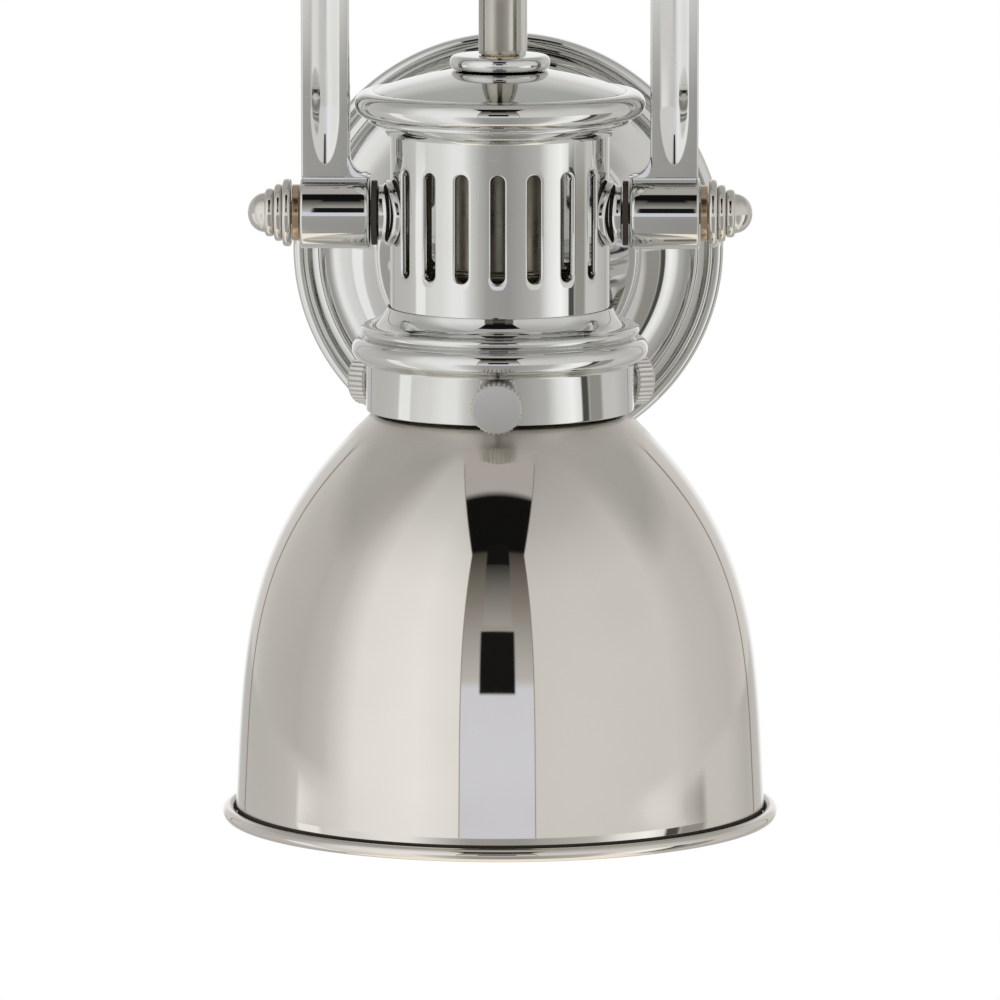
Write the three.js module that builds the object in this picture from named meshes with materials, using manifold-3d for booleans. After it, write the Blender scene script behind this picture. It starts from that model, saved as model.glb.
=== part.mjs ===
// Wall light: a round stepped wall plate, a gooseneck tube arm, a yoke,
// and a slotted lamp head with a bell shade.
// Millimetres, +Z up. The wall is the plane y = 0 and the light stands out along -Y.
// The origin is the centre of the plate's back. The head tilts about the yoke's pivots, along X.
import * as THREE from "three";
import { mergeVertices } from "three/addons/utils/BufferGeometryUtils.js";
import Module from "manifold-3d";

const wasm = await Module();
wasm.setup();

// Where the main things are
const PIVOT_RISE = 22; // plate centre up to the pivots
const YOKE_HEIGHT = 92; // pivots up to the underside of the yoke's crown
const SHADE_HEIGHT = 110.05; // shade's shoulder down to the middle of its lip
const SHADE_RADIUS = 76.2; // head's axis to the edge of the shade's lip

// Gaps
const SEAT = 0.3; // where one piece rests on another
const SLIP = 0.3; // round a screw, tube or spigot in its hole
const RUNNING = 0.4; // round a shaft that turns
const OVERRUN = 2; // how far a cutter passes the face that it cuts
const WELD = 0.0001; // corners nearer to each other than this are one

// Counts and angles
const TURN = Math.PI * 2;
const HALF_TURN = Math.PI;
const QUARTER_TURN = Math.PI / 2;
const DEGREE = Math.PI / 180;
const LARGE_SIDES = 28;
const MEDIUM_SIDES = 20;
const SMALL_SIDES = 16;
const INNER_SIDES = 12;
const SCREW_SIDES = 8;
const HEX_SIDES = 6;
const ARC_STEPS = 2;
const BACK_STEPS = 1;

// The plate is given from its middle outwards: boss, ledge, cove, step, groove and bead.
const PLATE = {
  nutMargin: 2.1,
  bossHeight: 20.5,
  bossEdge: 0.8,
  ledge: 1.3,
  coveWidth: 15,
  coveInnerHeight: 18.4,
  coveOuterHeight: 8.4,
  coveShares: [0.39, -0.18],
  stepWidth: 2.2,
  grooveRise: 0.9,
  grooveWidth: 1.3,
  beadRadius: 2.3,
  rimHeight: 3.6,
  wall: 1.6,
  steps: 3,
};

const BAR = { endGap: 1.4, width: 20, thickness: 1.8, boreRadius: 6.5, slotLength: 12, slotSetback: 9 };
const BOX_SCREW = { radius: 1.9, headRadius: 3.8, headHeight: 2.3, reach: 9 };
const STUD = { radius: 2, hubGap: 9.4, tail: 1.5, thread: 5.6 };
const PLATE_NUT = { radius: 4.6, skirt: 3.4, height: 8 };
const GROUND_SCREW = { radius: 1.9, across: 7, headHeight: 3, offset: 17, reach: 1.4 };

const TUBE = {
  radius: 6.35,
  wall: 1,
  leadIn: 8.9,
  elbowRadius: 22,
  riserGap: 14,
  straight: 12,
  steps: 26,
  sides: 12,
  boreSides: 6,
};
const NIPPLE = { radius: 4.8, wall: 1.4, grip: 10 };
const LOCKNUT = { across: 14, height: 3.2 };
const HUB = {
  footRadius: 16,
  footHeight: 2.2,
  footEdge: 0.9,
  neckRadius: 9,
  beadRadius: 1.3,
  height: 9.5,
  floor: 3,
};

const YOKE = {
  armInset: 0.3,
  armWidth: 13.1,
  armDepth: 9.6,
  armEdge: 0.4,
  bendRadius: 24,
  bendSteps: 3,
  footGap: 0.25,
  footFillet: 5.5,
  footLip: 0.9,
  webDepth: 5.4,
  webInset: 3,
  fluteWidth: 7.2,
  fluteDepth: 1.7,
  fluteFoot: 18,
  fluteRunIn: 3,
  fluteSides: 12,
  fluteSteps: 12,
};
const BARREL = { length: 19.05, radius: 9.75, edge: 0.7 };
const CROWN = { radius: 15, height: 21.4, edge: 1.2, boreRadius: 3.6, socketDepth: 7, socketWall: 1.65 };
const CROWN_SCREW = { radius: 1.3, headRadius: 2, headHeight: 1.4, inset: 3.4, bite: 4 };
const FERRULE = { reach: 2.55, height: 5.4, bulge: 1.4 };
const BUSHING = { flangeRadius: 5.6, flangeHeight: 1.4, length: 6.5, bore: 2 };

const HOUSING = { radius: 30, wall: 1.6, top: 24.2, bottom: -27.6 };
const SLOTS = { width: 3.9, length: 29.4, drop: 1.5, pitch: 19.4 * DEGREE, perFace: 7 };

// The cap's reaches go out from the housing's face, and its rises up from the housing's top.
const CAP = {
  seatRadius: 13,
  seatRise: 15,
  shoulderReach: 3.9,
  shoulderRise: 9.3,
  domeShares: [0.68, 0.45],
  domeSteps: 3,
  rimReach: 5.7,
  rimRise: 5.8,
  rimRadius: 3.65,
  rimFrom: 112 * DEGREE,
  rimTo: -78 * DEGREE,
  rimSteps: 4,
  beadReach: 4.7,
  beadRise: 1.6,
  beadRadius: 0.95,
  beadFrom: 75 * DEGREE,
  beadTo: -80 * DEGREE,
  beadSteps: 2,
  skirtDrop: 2.5,
  skirtLip: 0.6,
  skirtShares: [0.62, 0.38],
  wall: 1.8,
};
const COLLAR = { radius: 13.7, height: 3.9, bulge: 1.7 };
const STEM = { wall: 0.75, crownGap: 9.4 };

// The holder's band stands out from the housing by the flare, and its beads out from the band.
// Its drops go down from the housing's bottom.
const HOLDER = {
  topRise: 2.4,
  lip: 0.6,
  flare: 6.4,
  coveInset: 0.3,
  coveDrop: 3.4,
  coveShares: [0.3, 0.85],
  smallBeadReach: 0.2,
  smallBeadDrop: 4.6,
  smallBeadRadius: 1.15,
  smallBeadFrom: 90 * DEGREE,
  smallBeadTo: -60 * DEGREE,
  smallBeadSteps: 2,
  beadReach: 1.2,
  beadDrop: 8.9,
  beadRadius: 2.6,
  beadFrom: 80 * DEGREE,
  beadTo: -80 * DEGREE,
  beadSteps: 4,
  bandTopDrop: 13.8,
  bandBottomDrop: 26.9,
  wall: 1.5,
  throatDrop: 1.8,
};

// A pivot boss has an oval pad, which is bent round the housing, and a round neck.
const BOSS = { padWidth: 25.8, padHeight: 18, padThickness: 1, neckRadius: 7.5, neckLength: 1.9 };
const PIVOT_STUD = { radius: 3, headRadius: 6.5, headHeight: 2.2, grip: 6.5 };
const WASHER = { radius: 8.8, thickness: 1.55 };
const SPACER = { radius: 7.7, thickness: 1.9 };
const PIVOT_NUT = {
  rings: [
    { radius: 9.3, width: 2.4 },
    { radius: 7.85, width: 2.3 },
    { radius: 6.6, width: 2.5 },
  ],
  bulge: 0.9,
  noseRadius: 5.4,
  noseLength: 4.8,
};

const THUMBSCREW = {
  rise: 6.2,
  headRadius: 7.1,
  toothDepth: 0.5,
  teeth: 26,
  headHeight: 5.5,
  neckRadius: 3.1,
  neckLength: 3,
  shankRadius: 2,
  spread: 120 * DEGREE,
};

// The shade's neck hangs inside the holder's band, and its shoulder lies below the band.
const SHADE = {
  neckGap: 2,
  neckInsert: 10.5,
  shoulderStep: 1.1,
  shoulderDrop: 0.35,
  firstShares: [0.976, 0.317],
  secondShares: [0.941, 0.606],
  lipOffset: 2.4,
  lipRadius: 1.8,
  lipFrom: 140 * DEGREE,
  lipTo: -110 * DEGREE,
  lipSteps: 4,
  wall: 1.2,
  bellSteps: 8,
  backSteps: 4,
};

// Heights in the lampholder and the bulb go down from the top of the lampholder's cap.
const SOCKET = {
  locknutGap: 1,
  shellRadius: 17.5,
  shellWall: 0.7,
  shellTop: -15.4,
  shellBottom: -72.4,
  beadHeight: -48.1,
  beadRadius: 0.8,
  capBottom: -18.4,
  capShoulder: -12.4,
  capNeckRadius: 8,
  capNeckBottom: -5.4,
  capWall: 0.7,
  linerWall: 0.8,
  linerInset: 1.5,
  linerTop: -20.4,
  coreTop: -22.4,
  coreBottom: -33.4,
  spigotLength: 4,
  screwGap: 1.6,
  screwWall: 0.5,
  screwBottom: -68.4,
  contactLength: 12,
  contactWidth: 5,
  contactThickness: 0.8,
};

const BULB = {
  baseWall: 0.8,
  tipTop: -41.6,
  tipRadius: 4.8,
  tipHeight: 1,
  insulatorRadius: 9.5,
  insulatorHeight: 2.8,
  baseBottom: -68.4,
  neckInset: 0.4,
  glassRadius: 30,
  glassWall: 1,
  glassCentre: -120.4,
  neckShare: 0.45,
  bellyShare: 0.42,
  glassSteps: 3,
};

// Finishes, as the photograph shows them
const POLISHED_NICKEL = { color: 0xcfccc6, roughness: 0.1, metalness: 1 };
const WARM_NICKEL = { color: 0xcdc8c0, roughness: 0.24, metalness: 1 };
const SATIN_NICKEL = { color: 0xb9b6b0, roughness: 0.38, metalness: 1 };
const ZINC_STEEL = { color: 0x9ea09f, roughness: 0.5, metalness: 1 };
const BLACK_FIBRE = { color: 0x1b1713, roughness: 0.7, metalness: 0 };
const RAW_ALUMINIUM = { color: 0xa9a6a0, roughness: 0.55, metalness: 1 };
const CARD = { color: 0x5a4634, roughness: 0.9, metalness: 0 };
const BRASS = { color: 0xc9a35a, roughness: 0.35, metalness: 1 };
const PORCELAIN = { color: 0xe9e5dc, roughness: 0.3, metalness: 0 };
const NYLON = { color: 0xe4e2dc, roughness: 0.6, metalness: 0 };
const FROSTED_GLASS = { color: 0xf4f3ee, roughness: 0.3, metalness: 0 };
const GREEN_STEEL = { color: 0x2f6b3c, roughness: 0.5, metalness: 0.6 };

// Places that several pieces share
const nippleHole = NIPPLE.radius + SLIP;
const nippleBore = NIPPLE.radius - NIPPLE.wall;
const studHole = STUD.radius + SLIP;
const studOffset = HUB.footRadius + STUD.hubGap + PLATE_NUT.radius;
const bossRadius = studOffset + PLATE_NUT.radius + PLATE.nutMargin;
const coveInner = bossRadius + PLATE.ledge;
const coveOuter = coveInner + PLATE.coveWidth;
const stepRadius = coveOuter + PLATE.stepWidth;
const plateRadius = stepRadius + PLATE.grooveWidth + PLATE.beadRadius * 2;
const plateInside = PLATE.bossHeight - PLATE.wall;
const barHalf = coveOuter - BAR.endGap;
const boxScrewOffset = barHalf - BAR.slotSetback;
const hubBase = PLATE.bossHeight + SEAT;
const tubeSocket = TUBE.radius + SLIP;
const tubeStart = hubBase + HUB.floor + SEAT;

const housingBore = HOUSING.radius - HOUSING.wall;
const housingSeat = HOUSING.radius + SEAT;
const capSeat = HOUSING.top + CAP.seatRise;
const capRim = housingSeat + CAP.rimReach;
const collarBase = capSeat + SEAT;
const collarTop = collarBase + COLLAR.height;
const headLocknutTop = capSeat - CAP.wall - SEAT;
const socketTop = headLocknutTop - LOCKNUT.height - SOCKET.locknutGap;

const riserReach = tubeStart + TUBE.leadIn + TUBE.elbowRadius;
const riserSetback = capRim + CAP.rimRadius + TUBE.riserGap + TUBE.radius;
const headReach = riserReach + riserSetback;

const padRadius = housingSeat + BOSS.padThickness;
const bossFace = padRadius + BOSS.neckLength;
const pivotHole = PIVOT_STUD.radius + SLIP;
const washerFace = bossFace + SEAT;
const barrelInner = washerFace + WASHER.thickness + SEAT;
const barrelOuter = barrelInner + BARREL.length;
const spacerFace = barrelOuter + SEAT;
const pivotNutFace = spacerFace + SPACER.thickness + SEAT;
const pivotStudEnd = pivotNutFace + PIVOT_STUD.grip;

const crownTop = YOKE_HEIGHT + CROWN.height;
const crownMiddle = YOKE_HEIGHT + CROWN.height / 2;
const crownScrewCentre = CROWN.radius - CROWN_SCREW.inset;
const armHalf = YOKE.armWidth / 2;
const armCentre = barrelOuter - YOKE.armInset - armHalf;
const armEnd = tubeSocket + CROWN.socketWall + SEAT;
const armTop = crownMiddle + armHalf;
const footRise = BARREL.radius + YOKE.footGap;
const bendX = armCentre - YOKE.bendRadius;
const bendZ = crownMiddle - YOKE.bendRadius;

const bandRadius = housingSeat + HOLDER.flare;
const bandBore = bandRadius - HOLDER.wall;
const bandBottom = HOUSING.bottom - HOLDER.bandBottomDrop;
const thumbscrewHeight = bandBottom + THUMBSCREW.rise;
const shadeNeck = bandBore - SHADE.neckGap;
const shoulderRadius = shadeNeck + SHADE.shoulderStep;
const shoulderHeight = bandBottom - SHADE.shoulderDrop;
const lipCentre = SHADE_RADIUS - SHADE.lipRadius;
const lipHeight = shoulderHeight - SHADE_HEIGHT;
const bellRadius = lipCentre - SHADE.lipRadius;
const bellBottom = lipHeight + SHADE.lipOffset;

const shellBore = SOCKET.shellRadius - SOCKET.shellWall;
const linerRadius = shellBore - SEAT;
const linerBore = linerRadius - SOCKET.linerWall;
const screwRadius = linerBore - SOCKET.screwGap;
const screwBore = screwRadius - SOCKET.screwWall;
const baseRadius = screwBore - RUNNING;

const SIDES = { right: 1, left: -1 };
const ENDS = { upper: 1, lower: -1 };
const THUMBSCREW_NAMES = ["front", "right", "left"];

// Solids

function signedVolume(positions, triangles) {
  const corner = (i) => new THREE.Vector3().fromArray(positions, triangles[i] * 3);
  let sum = 0;
  for (let i = 0; i < triangles.length; i += 3) {
    sum += corner(i).dot(corner(i + 1).cross(corner(i + 2)));
  }
  return sum;
}

// The closed solid of a geometry, with its faces turned outward.
// Triangles that have no area, at the axis of a turned form, are left out.
function solidOf(geometry) {
  const bare = geometry.clone();
  bare.deleteAttribute("normal");
  bare.deleteAttribute("uv");
  const merged = mergeVertices(bare, WELD);
  const index = merged.index.array;
  const triangles = [];
  for (let i = 0; i < index.length; i += 3) {
    const [a, b, c] = [index[i], index[i + 1], index[i + 2]];
    if (a !== b && b !== c && c !== a) {
      triangles.push(a, b, c);
    }
  }
  const vertProperties = new Float32Array(merged.attributes.position.array);
  if (signedVolume(vertProperties, triangles) < 0) triangles.reverse();
  const triVerts = new Uint32Array(triangles);
  return new wasm.Manifold(new wasm.Mesh({ numProp: 3, vertProperties, triVerts }));
}

function geometryOf(solid) {
  const mesh = solid.getMesh();
  const positions = new Float32Array(mesh.numVert * 3);
  for (let i = 0; i < mesh.numVert; i++) {
    const start = i * mesh.numProp;
    positions.set(mesh.vertProperties.subarray(start, start + 3), i * 3);
  }
  const geometry = new THREE.BufferGeometry();
  geometry.setAttribute("position", new THREE.BufferAttribute(positions, 3));
  return geometry.setIndex(new THREE.BufferAttribute(mesh.triVerts, 1));
}

function join(first, ...others) {
  return geometryOf(others.reduce((whole, other) => whole.add(solidOf(other)), solidOf(first)));
}

function cut(first, ...tools) {
  return geometryOf(tools.reduce((rest, tool) => rest.subtract(solidOf(tool)), solidOf(first)));
}

function common(first, second) {
  return geometryOf(solidOf(first).intersect(solidOf(second)));
}

function pathFrom(radius, height) {
  return new THREE.Path().moveTo(radius, height);
}

function arc(radius, height, size, from, to, steps) {
  return new THREE.EllipseCurve(radius, height, size, size, from, to, to < from).getPoints(steps);
}

// The point that lies at shares of the way from one point to another, out and up.
function between(start, end, [out, up]) {
  const x = THREE.MathUtils.lerp(start.x, end.x, out);
  return new THREE.Vector2(x, THREE.MathUtils.lerp(start.y, end.y, up));
}

// A body turned about Z from points of radius and height that go round a closed outline.
function turned(outline, sides) {
  const skin = new THREE.LatheGeometry([...outline, outline[0]], sides);
  return geometryOf(solidOf(skin.rotateX(QUARTER_TURN)));
}

function turnedPath(path, sides = SMALL_SIDES, steps = ARC_STEPS) {
  return turned(path.getPoints(steps), sides);
}

// A round bar along Z between two heights.
function bar(radius, from, to, sides = SMALL_SIDES) {
  return turnedPath(pathFrom(0, from).lineTo(radius, from).lineTo(radius, to).lineTo(0, to), sides);
}

// A plain tube along Z between two heights.
function sleeve(radius, bore, from, to, sides = SMALL_SIDES) {
  return turnedPath(pathFrom(bore, from).lineTo(radius, from).lineTo(radius, to).lineTo(bore, to), sides);
}

// A ring along Z whose outside swells between its two faces.
function ring({ radius, bulge, height }, bore, from, sides = MEDIUM_SIDES) {
  const to = from + height;
  const middle = from + height / 2;
  const path = pathFrom(bore, from).lineTo(radius - bulge, from);
  path.quadraticCurveTo(radius, from, radius, middle).quadraticCurveTo(radius, to, radius - bulge, to);
  return turnedPath(path.lineTo(bore, to), sides, BACK_STEPS);
}

// A hexagonal prism along Z, measured across its flats.
function hexBar(across, from, to) {
  return bar(across / 2 / Math.cos(HALF_TURN / HEX_SIDES), from, to, HEX_SIDES);
}

// A screw along Z with a domed head that stands on a face.
function domedScrew({ radius, headRadius, headHeight }, face, tail) {
  const seat = face + SEAT;
  const top = seat + headHeight;
  const path = pathFrom(0, tail).lineTo(radius, tail).lineTo(radius, seat).lineTo(headRadius, seat);
  path.quadraticCurveTo(headRadius, top, 0, top);
  return turnedPath(path, SCREW_SIDES);
}

// An outline in X and Z made solid along Y, centred on y = 0, with broken edges.
function slab(shape, depth, edge = 0) {
  const geometry = new THREE.ExtrudeGeometry(shape, {
    depth: depth - edge * 2,
    curveSegments: YOKE.bendSteps,
    bevelEnabled: edge > 0,
    bevelSegments: 1,
    bevelSize: edge,
    bevelThickness: edge,
    bevelOffset: -edge,
  });
  return geometry.translate(0, 0, edge - depth / 2).rotateX(QUARTER_TURN);
}

// A slot's cutter along Z: a rectangle with round ends, long in Y.
function slotCutter(width, length, from, to) {
  const radius = width / 2;
  const straight = length / 2 - radius;
  const shape = new THREE.Shape().absarc(0, straight, radius, 0, HALF_TURN, false);
  shape.absarc(0, -straight, radius, HALF_TURN, TURN, false);
  const settings = { depth: to - from, bevelEnabled: false, curveSegments: ARC_STEPS };
  const geometry = new THREE.ExtrudeGeometry(shape, settings);
  return geometry.translate(0, 0, from);
}

// A round bend of a centre line in the plane of two unit vectors.
class Bend extends THREE.Curve {
  constructor(centre, radius, along, across, from, to) {
    super();
    Object.assign(this, { centre, radius, along, across, from, to });
  }

  getPoint(t, target = new THREE.Vector3()) {
    const angle = THREE.MathUtils.lerp(this.from, this.to, t);
    target.copy(this.centre).addScaledVector(this.along, this.radius * Math.cos(angle));
    return target.addScaledVector(this.across, this.radius * Math.sin(angle));
  }
}

function swept(shape, curves, steps, sides) {
  const extrudePath = new THREE.CurvePath();
  curves.forEach((curve) => extrudePath.add(curve));
  return new THREE.ExtrudeGeometry(shape, { extrudePath, steps, curveSegments: sides / 2 });
}

function round(radius) {
  return new THREE.Shape().absarc(0, 0, radius, 0, TURN, false);
}

function part(name, geometry, finish) {
  const mesh = new THREE.Mesh(geometry, new THREE.MeshStandardMaterial(finish));
  mesh.name = name;
  return mesh;
}

function group(...members) {
  return new THREE.Group().add(...members);
}

// Wall plate and what holds it. Here Z is the distance from the wall and Y is up.

// The front of the plate from the wall to the centre hole, or its inside, one wall further in.
function plateLine(inset) {
  const rim = plateRadius - inset;
  const outer = new THREE.Vector2(coveOuter - inset, PLATE.coveOuterHeight - inset);
  const inner = new THREE.Vector2(coveInner - inset, PLATE.coveInnerHeight - inset);
  const bend = between(outer, inner, PLATE.coveShares);
  const boss = bossRadius - inset;
  const face = PLATE.bossHeight - inset;
  const line = pathFrom(rim, 0).lineTo(rim, PLATE.rimHeight - inset);
  if (inset === 0) {
    line.absarc(rim - PLATE.beadRadius, PLATE.rimHeight, PLATE.beadRadius, 0, HALF_TURN, false);
  }
  line.lineTo(stepRadius - inset, PLATE.rimHeight + PLATE.grooveRise - inset).lineTo(outer.x, outer.y);
  line.quadraticCurveTo(bend.x, bend.y, inner.x, inner.y).lineTo(boss, inner.y);
  line.lineTo(boss, face - PLATE.bossEdge).lineTo(boss - PLATE.bossEdge, face);
  return line.lineTo(nippleHole, face);
}

function wallPlate() {
  const front = plateLine(0).getPoints(PLATE.steps);
  const inside = plateLine(PLATE.wall).getPoints(ARC_STEPS).reverse();
  const shell = turned([...front, ...inside], LARGE_SIDES);
  const hole = bar(studHole, plateInside - OVERRUN, PLATE.bossHeight + OVERRUN, SCREW_SIDES);
  return cut(shell, ...Object.values(ENDS).map((end) => hole.clone().translate(0, end * studOffset, 0)));
}

function mountingBar() {
  const strap = new THREE.BoxGeometry(BAR.width, barHalf * 2, BAR.thickness);
  strap.translate(0, 0, BAR.thickness / 2);
  const top = BAR.thickness + OVERRUN;
  const cutters = [
    bar(BAR.boreRadius, -OVERRUN, top),
    bar(GROUND_SCREW.radius + SLIP, -OVERRUN, top, SCREW_SIDES).translate(0, GROUND_SCREW.offset, 0),
  ];
  for (const end of Object.values(ENDS)) {
    cutters.push(bar(studHole, -OVERRUN, top, SCREW_SIDES).translate(0, end * studOffset, 0));
    const slot = slotCutter((BOX_SCREW.radius + SLIP) * 2, BAR.slotLength, -OVERRUN, top);
    cutters.push(slot.translate(0, end * boxScrewOffset, 0));
  }
  return cut(strap, ...cutters);
}

function plateNut() {
  const base = PLATE.bossHeight + SEAT;
  const top = base + PLATE_NUT.height;
  const boreTop = base + STUD.thread + SEAT;
  const path = pathFrom(studHole, base).lineTo(PLATE_NUT.radius, base);
  path.lineTo(PLATE_NUT.radius, base + PLATE_NUT.skirt).quadraticCurveTo(PLATE_NUT.radius, top, 0, top);
  return turnedPath(path.lineTo(0, boreTop).lineTo(studHole, boreTop), INNER_SIDES);
}

function groundScrew() {
  const seat = BAR.thickness + SEAT;
  const head = hexBar(GROUND_SCREW.across, seat, seat + GROUND_SCREW.headHeight);
  return join(head, bar(GROUND_SCREW.radius, -GROUND_SCREW.reach, seat + SEAT, SCREW_SIDES));
}

function armHub() {
  const foot = hubBase + HUB.footHeight;
  const top = hubBase + HUB.height;
  const path = pathFrom(nippleHole, hubBase).lineTo(HUB.footRadius, hubBase);
  path.lineTo(HUB.footRadius, foot - HUB.footEdge).lineTo(HUB.footRadius - HUB.footEdge, foot);
  path.quadraticCurveTo(HUB.neckRadius, foot, HUB.neckRadius, top - HUB.beadRadius * 2);
  path.absarc(HUB.neckRadius, top - HUB.beadRadius, HUB.beadRadius, -QUARTER_TURN, QUARTER_TURN, false);
  path.lineTo(tubeSocket, top).lineTo(tubeSocket, hubBase + HUB.floor);
  return turnedPath(path.lineTo(nippleHole, hubBase + HUB.floor), SMALL_SIDES, BACK_STEPS);
}

// A hexagonal nut on a threaded tube, with its upper face at a height.
function locknut(top) {
  const bottom = top - LOCKNUT.height;
  const hole = bar(nippleHole, bottom - OVERRUN, top + OVERRUN, INNER_SIDES);
  return cut(hexBar(LOCKNUT.across, bottom, top), hole);
}

function plateGroup() {
  const locknutTop = plateInside - SEAT;
  const nippleStart = locknutTop - LOCKNUT.height - SEAT;
  const nipple = sleeve(NIPPLE.radius, nippleBore, nippleStart, hubBase + HUB.floor, INNER_SIDES);
  const pieces = group(
    part("wall_plate", wallPlate(), POLISHED_NICKEL),
    part("mounting_bar", mountingBar(), ZINC_STEEL),
    part("arm_hub", armHub(), POLISHED_NICKEL),
    part("arm_nipple", nipple, BRASS),
    part("arm_locknut", locknut(locknutTop), BRASS),
  );
  const ground = part("ground_screw", groundScrew(), GREEN_STEEL);
  ground.position.y = GROUND_SCREW.offset;
  pieces.add(ground);
  for (const [name, end] of Object.entries(ENDS)) {
    const studTop = PLATE.bossHeight + SEAT + STUD.thread;
    const stud = part("plate_stud_" + name, bar(STUD.radius, -STUD.tail, studTop, SCREW_SIDES), ZINC_STEEL);
    const nut = part("plate_nut_" + name, plateNut(), POLISHED_NICKEL);
    const boxScrew = domedScrew(BOX_SCREW, BAR.thickness, -BOX_SCREW.reach);
    const screw = part("box_screw_" + name, boxScrew, ZINC_STEEL);
    stud.position.y = end * studOffset;
    nut.position.y = end * studOffset;
    screw.position.y = end * boxScrewOffset;
    pieces.add(stud, nut, screw);
  }
  pieces.rotation.x = QUARTER_TURN;
  return pieces;
}

// Gooseneck arm: out of the hub, up behind the head, over and down into the crown.
function gooseneckArm() {
  const out = new THREE.Vector3(0, -1, 0);
  const up = new THREE.Vector3(0, 0, 1);
  const place = (reach, rise) => out.clone().multiplyScalar(reach).addScaledVector(up, rise);
  const topBend = PIVOT_RISE + crownTop + TUBE.straight;
  const topRadius = riserSetback / 2;
  const elbow = TUBE.elbowRadius;
  const end = PIVOT_RISE + crownTop - CROWN.socketDepth + SEAT;
  const section = round(TUBE.radius);
  const bore = round(TUBE.radius - TUBE.wall).getSpacedPoints(TUBE.boreSides);
  section.holes.push(new THREE.Path().setFromPoints(bore));
  const curves = [
    new THREE.LineCurve3(place(tubeStart, 0), place(riserReach - elbow, 0)),
    new Bend(place(riserReach - elbow, elbow), elbow, out, up, -QUARTER_TURN, 0),
    new THREE.LineCurve3(place(riserReach, elbow), place(riserReach, topBend)),
    new Bend(place(riserReach + topRadius, topBend), topRadius, out, up, HALF_TURN, 0),
    new THREE.LineCurve3(place(headReach, topBend), place(headReach, end)),
  ];
  return swept(section, curves, TUBE.steps, TUBE.sides);
}

// Yoke. Here the pivots are at the origin.

function crown() {
  const socketFloor = crownTop - CROWN.socketDepth;
  const path = pathFrom(CROWN.boreRadius, YOKE_HEIGHT).lineTo(CROWN.radius - CROWN.edge, YOKE_HEIGHT);
  path.lineTo(CROWN.radius, YOKE_HEIGHT + CROWN.edge).lineTo(CROWN.radius, crownTop - CROWN.edge);
  path.lineTo(CROWN.radius - CROWN.edge, crownTop).lineTo(tubeSocket, crownTop);
  path.lineTo(tubeSocket, socketFloor).lineTo(CROWN.boreRadius, socketFloor);
  const cutters = [];
  for (const side of Object.values(SIDES)) {
    const reach = CROWN.radius + OVERRUN - armEnd + SEAT;
    const pocket = new THREE.BoxGeometry(reach, YOKE.armDepth + SEAT * 2, YOKE.armWidth + SEAT * 2);
    cutters.push(pocket.translate(side * (armEnd - SEAT + reach / 2), 0, crownMiddle));
    const drill = bar(CROWN_SCREW.radius + SLIP, crownMiddle, crownTop + OVERRUN, SCREW_SIDES);
    cutters.push(drill.translate(side * crownScrewCentre, 0, 0));
  }
  return cut(turnedPath(path, MEDIUM_SIDES), ...cutters);
}

// The flat outline of the right arm, from its foot on the barrel to its end in the crown.
function armOutline() {
  const [inner, outer] = [armCentre - armHalf, armCentre + armHalf];
  const shape = new THREE.Shape().moveTo(outer, footRise).lineTo(outer, bendZ);
  shape.absarc(bendX, bendZ, YOKE.bendRadius + armHalf, 0, QUARTER_TURN, false);
  shape.lineTo(armEnd, armTop).lineTo(armEnd, crownMiddle - armHalf);
  shape.absarc(bendX, bendZ, YOKE.bendRadius - armHalf, QUARTER_TURN, 0, true);
  const filletZ = footRise + YOKE.footLip + YOKE.footFillet;
  shape.absarc(inner - YOKE.footFillet, filletZ, YOKE.footFillet, 0, -QUARTER_TURN, true);
  return shape.lineTo(inner - YOKE.footFillet, footRise);
}

// The hollow that runs up the middle of an arm's front or back face, round its bend and into the crown.
function fluteCutter(face) {
  const half = YOKE.fluteWidth / 2;
  const radius = (half * half + YOKE.fluteDepth * YOKE.fluteDepth) / (YOKE.fluteDepth * 2);
  const y = face * (YOKE.armDepth / 2 + radius - YOKE.fluteDepth);
  const across = new THREE.Vector3(1, 0, 0);
  const up = new THREE.Vector3(0, 0, 1);
  const foot = new THREE.Vector3(armCentre, y, YOKE.fluteFoot);
  const end = new THREE.Vector3(CROWN.radius - YOKE.fluteRunIn, y, crownMiddle);
  const curves = [
    new THREE.LineCurve3(foot, new THREE.Vector3(armCentre, y, bendZ)),
    new Bend(new THREE.Vector3(bendX, y, bendZ), YOKE.bendRadius, across, up, 0, QUARTER_TURN),
    new THREE.LineCurve3(new THREE.Vector3(bendX, y, crownMiddle), end),
  ];
  const run = swept(round(radius), curves, YOKE.fluteSteps, YOKE.fluteSides);
  const ball = new THREE.SphereGeometry(radius, YOKE.fluteSides, YOKE.fluteSides / 2).rotateX(QUARTER_TURN);
  return join(run, ball.translate(foot.x, foot.y, foot.z));
}

function barrel() {
  const { radius, edge } = BARREL;
  const path = pathFrom(0, barrelInner).lineTo(radius - edge, barrelInner);
  path.lineTo(radius, barrelInner + edge).lineTo(radius, barrelOuter - edge);
  path.lineTo(radius - edge, barrelOuter).lineTo(0, barrelOuter);
  return turnedPath(path, MEDIUM_SIDES).rotateY(QUARTER_TURN);
}

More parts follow.
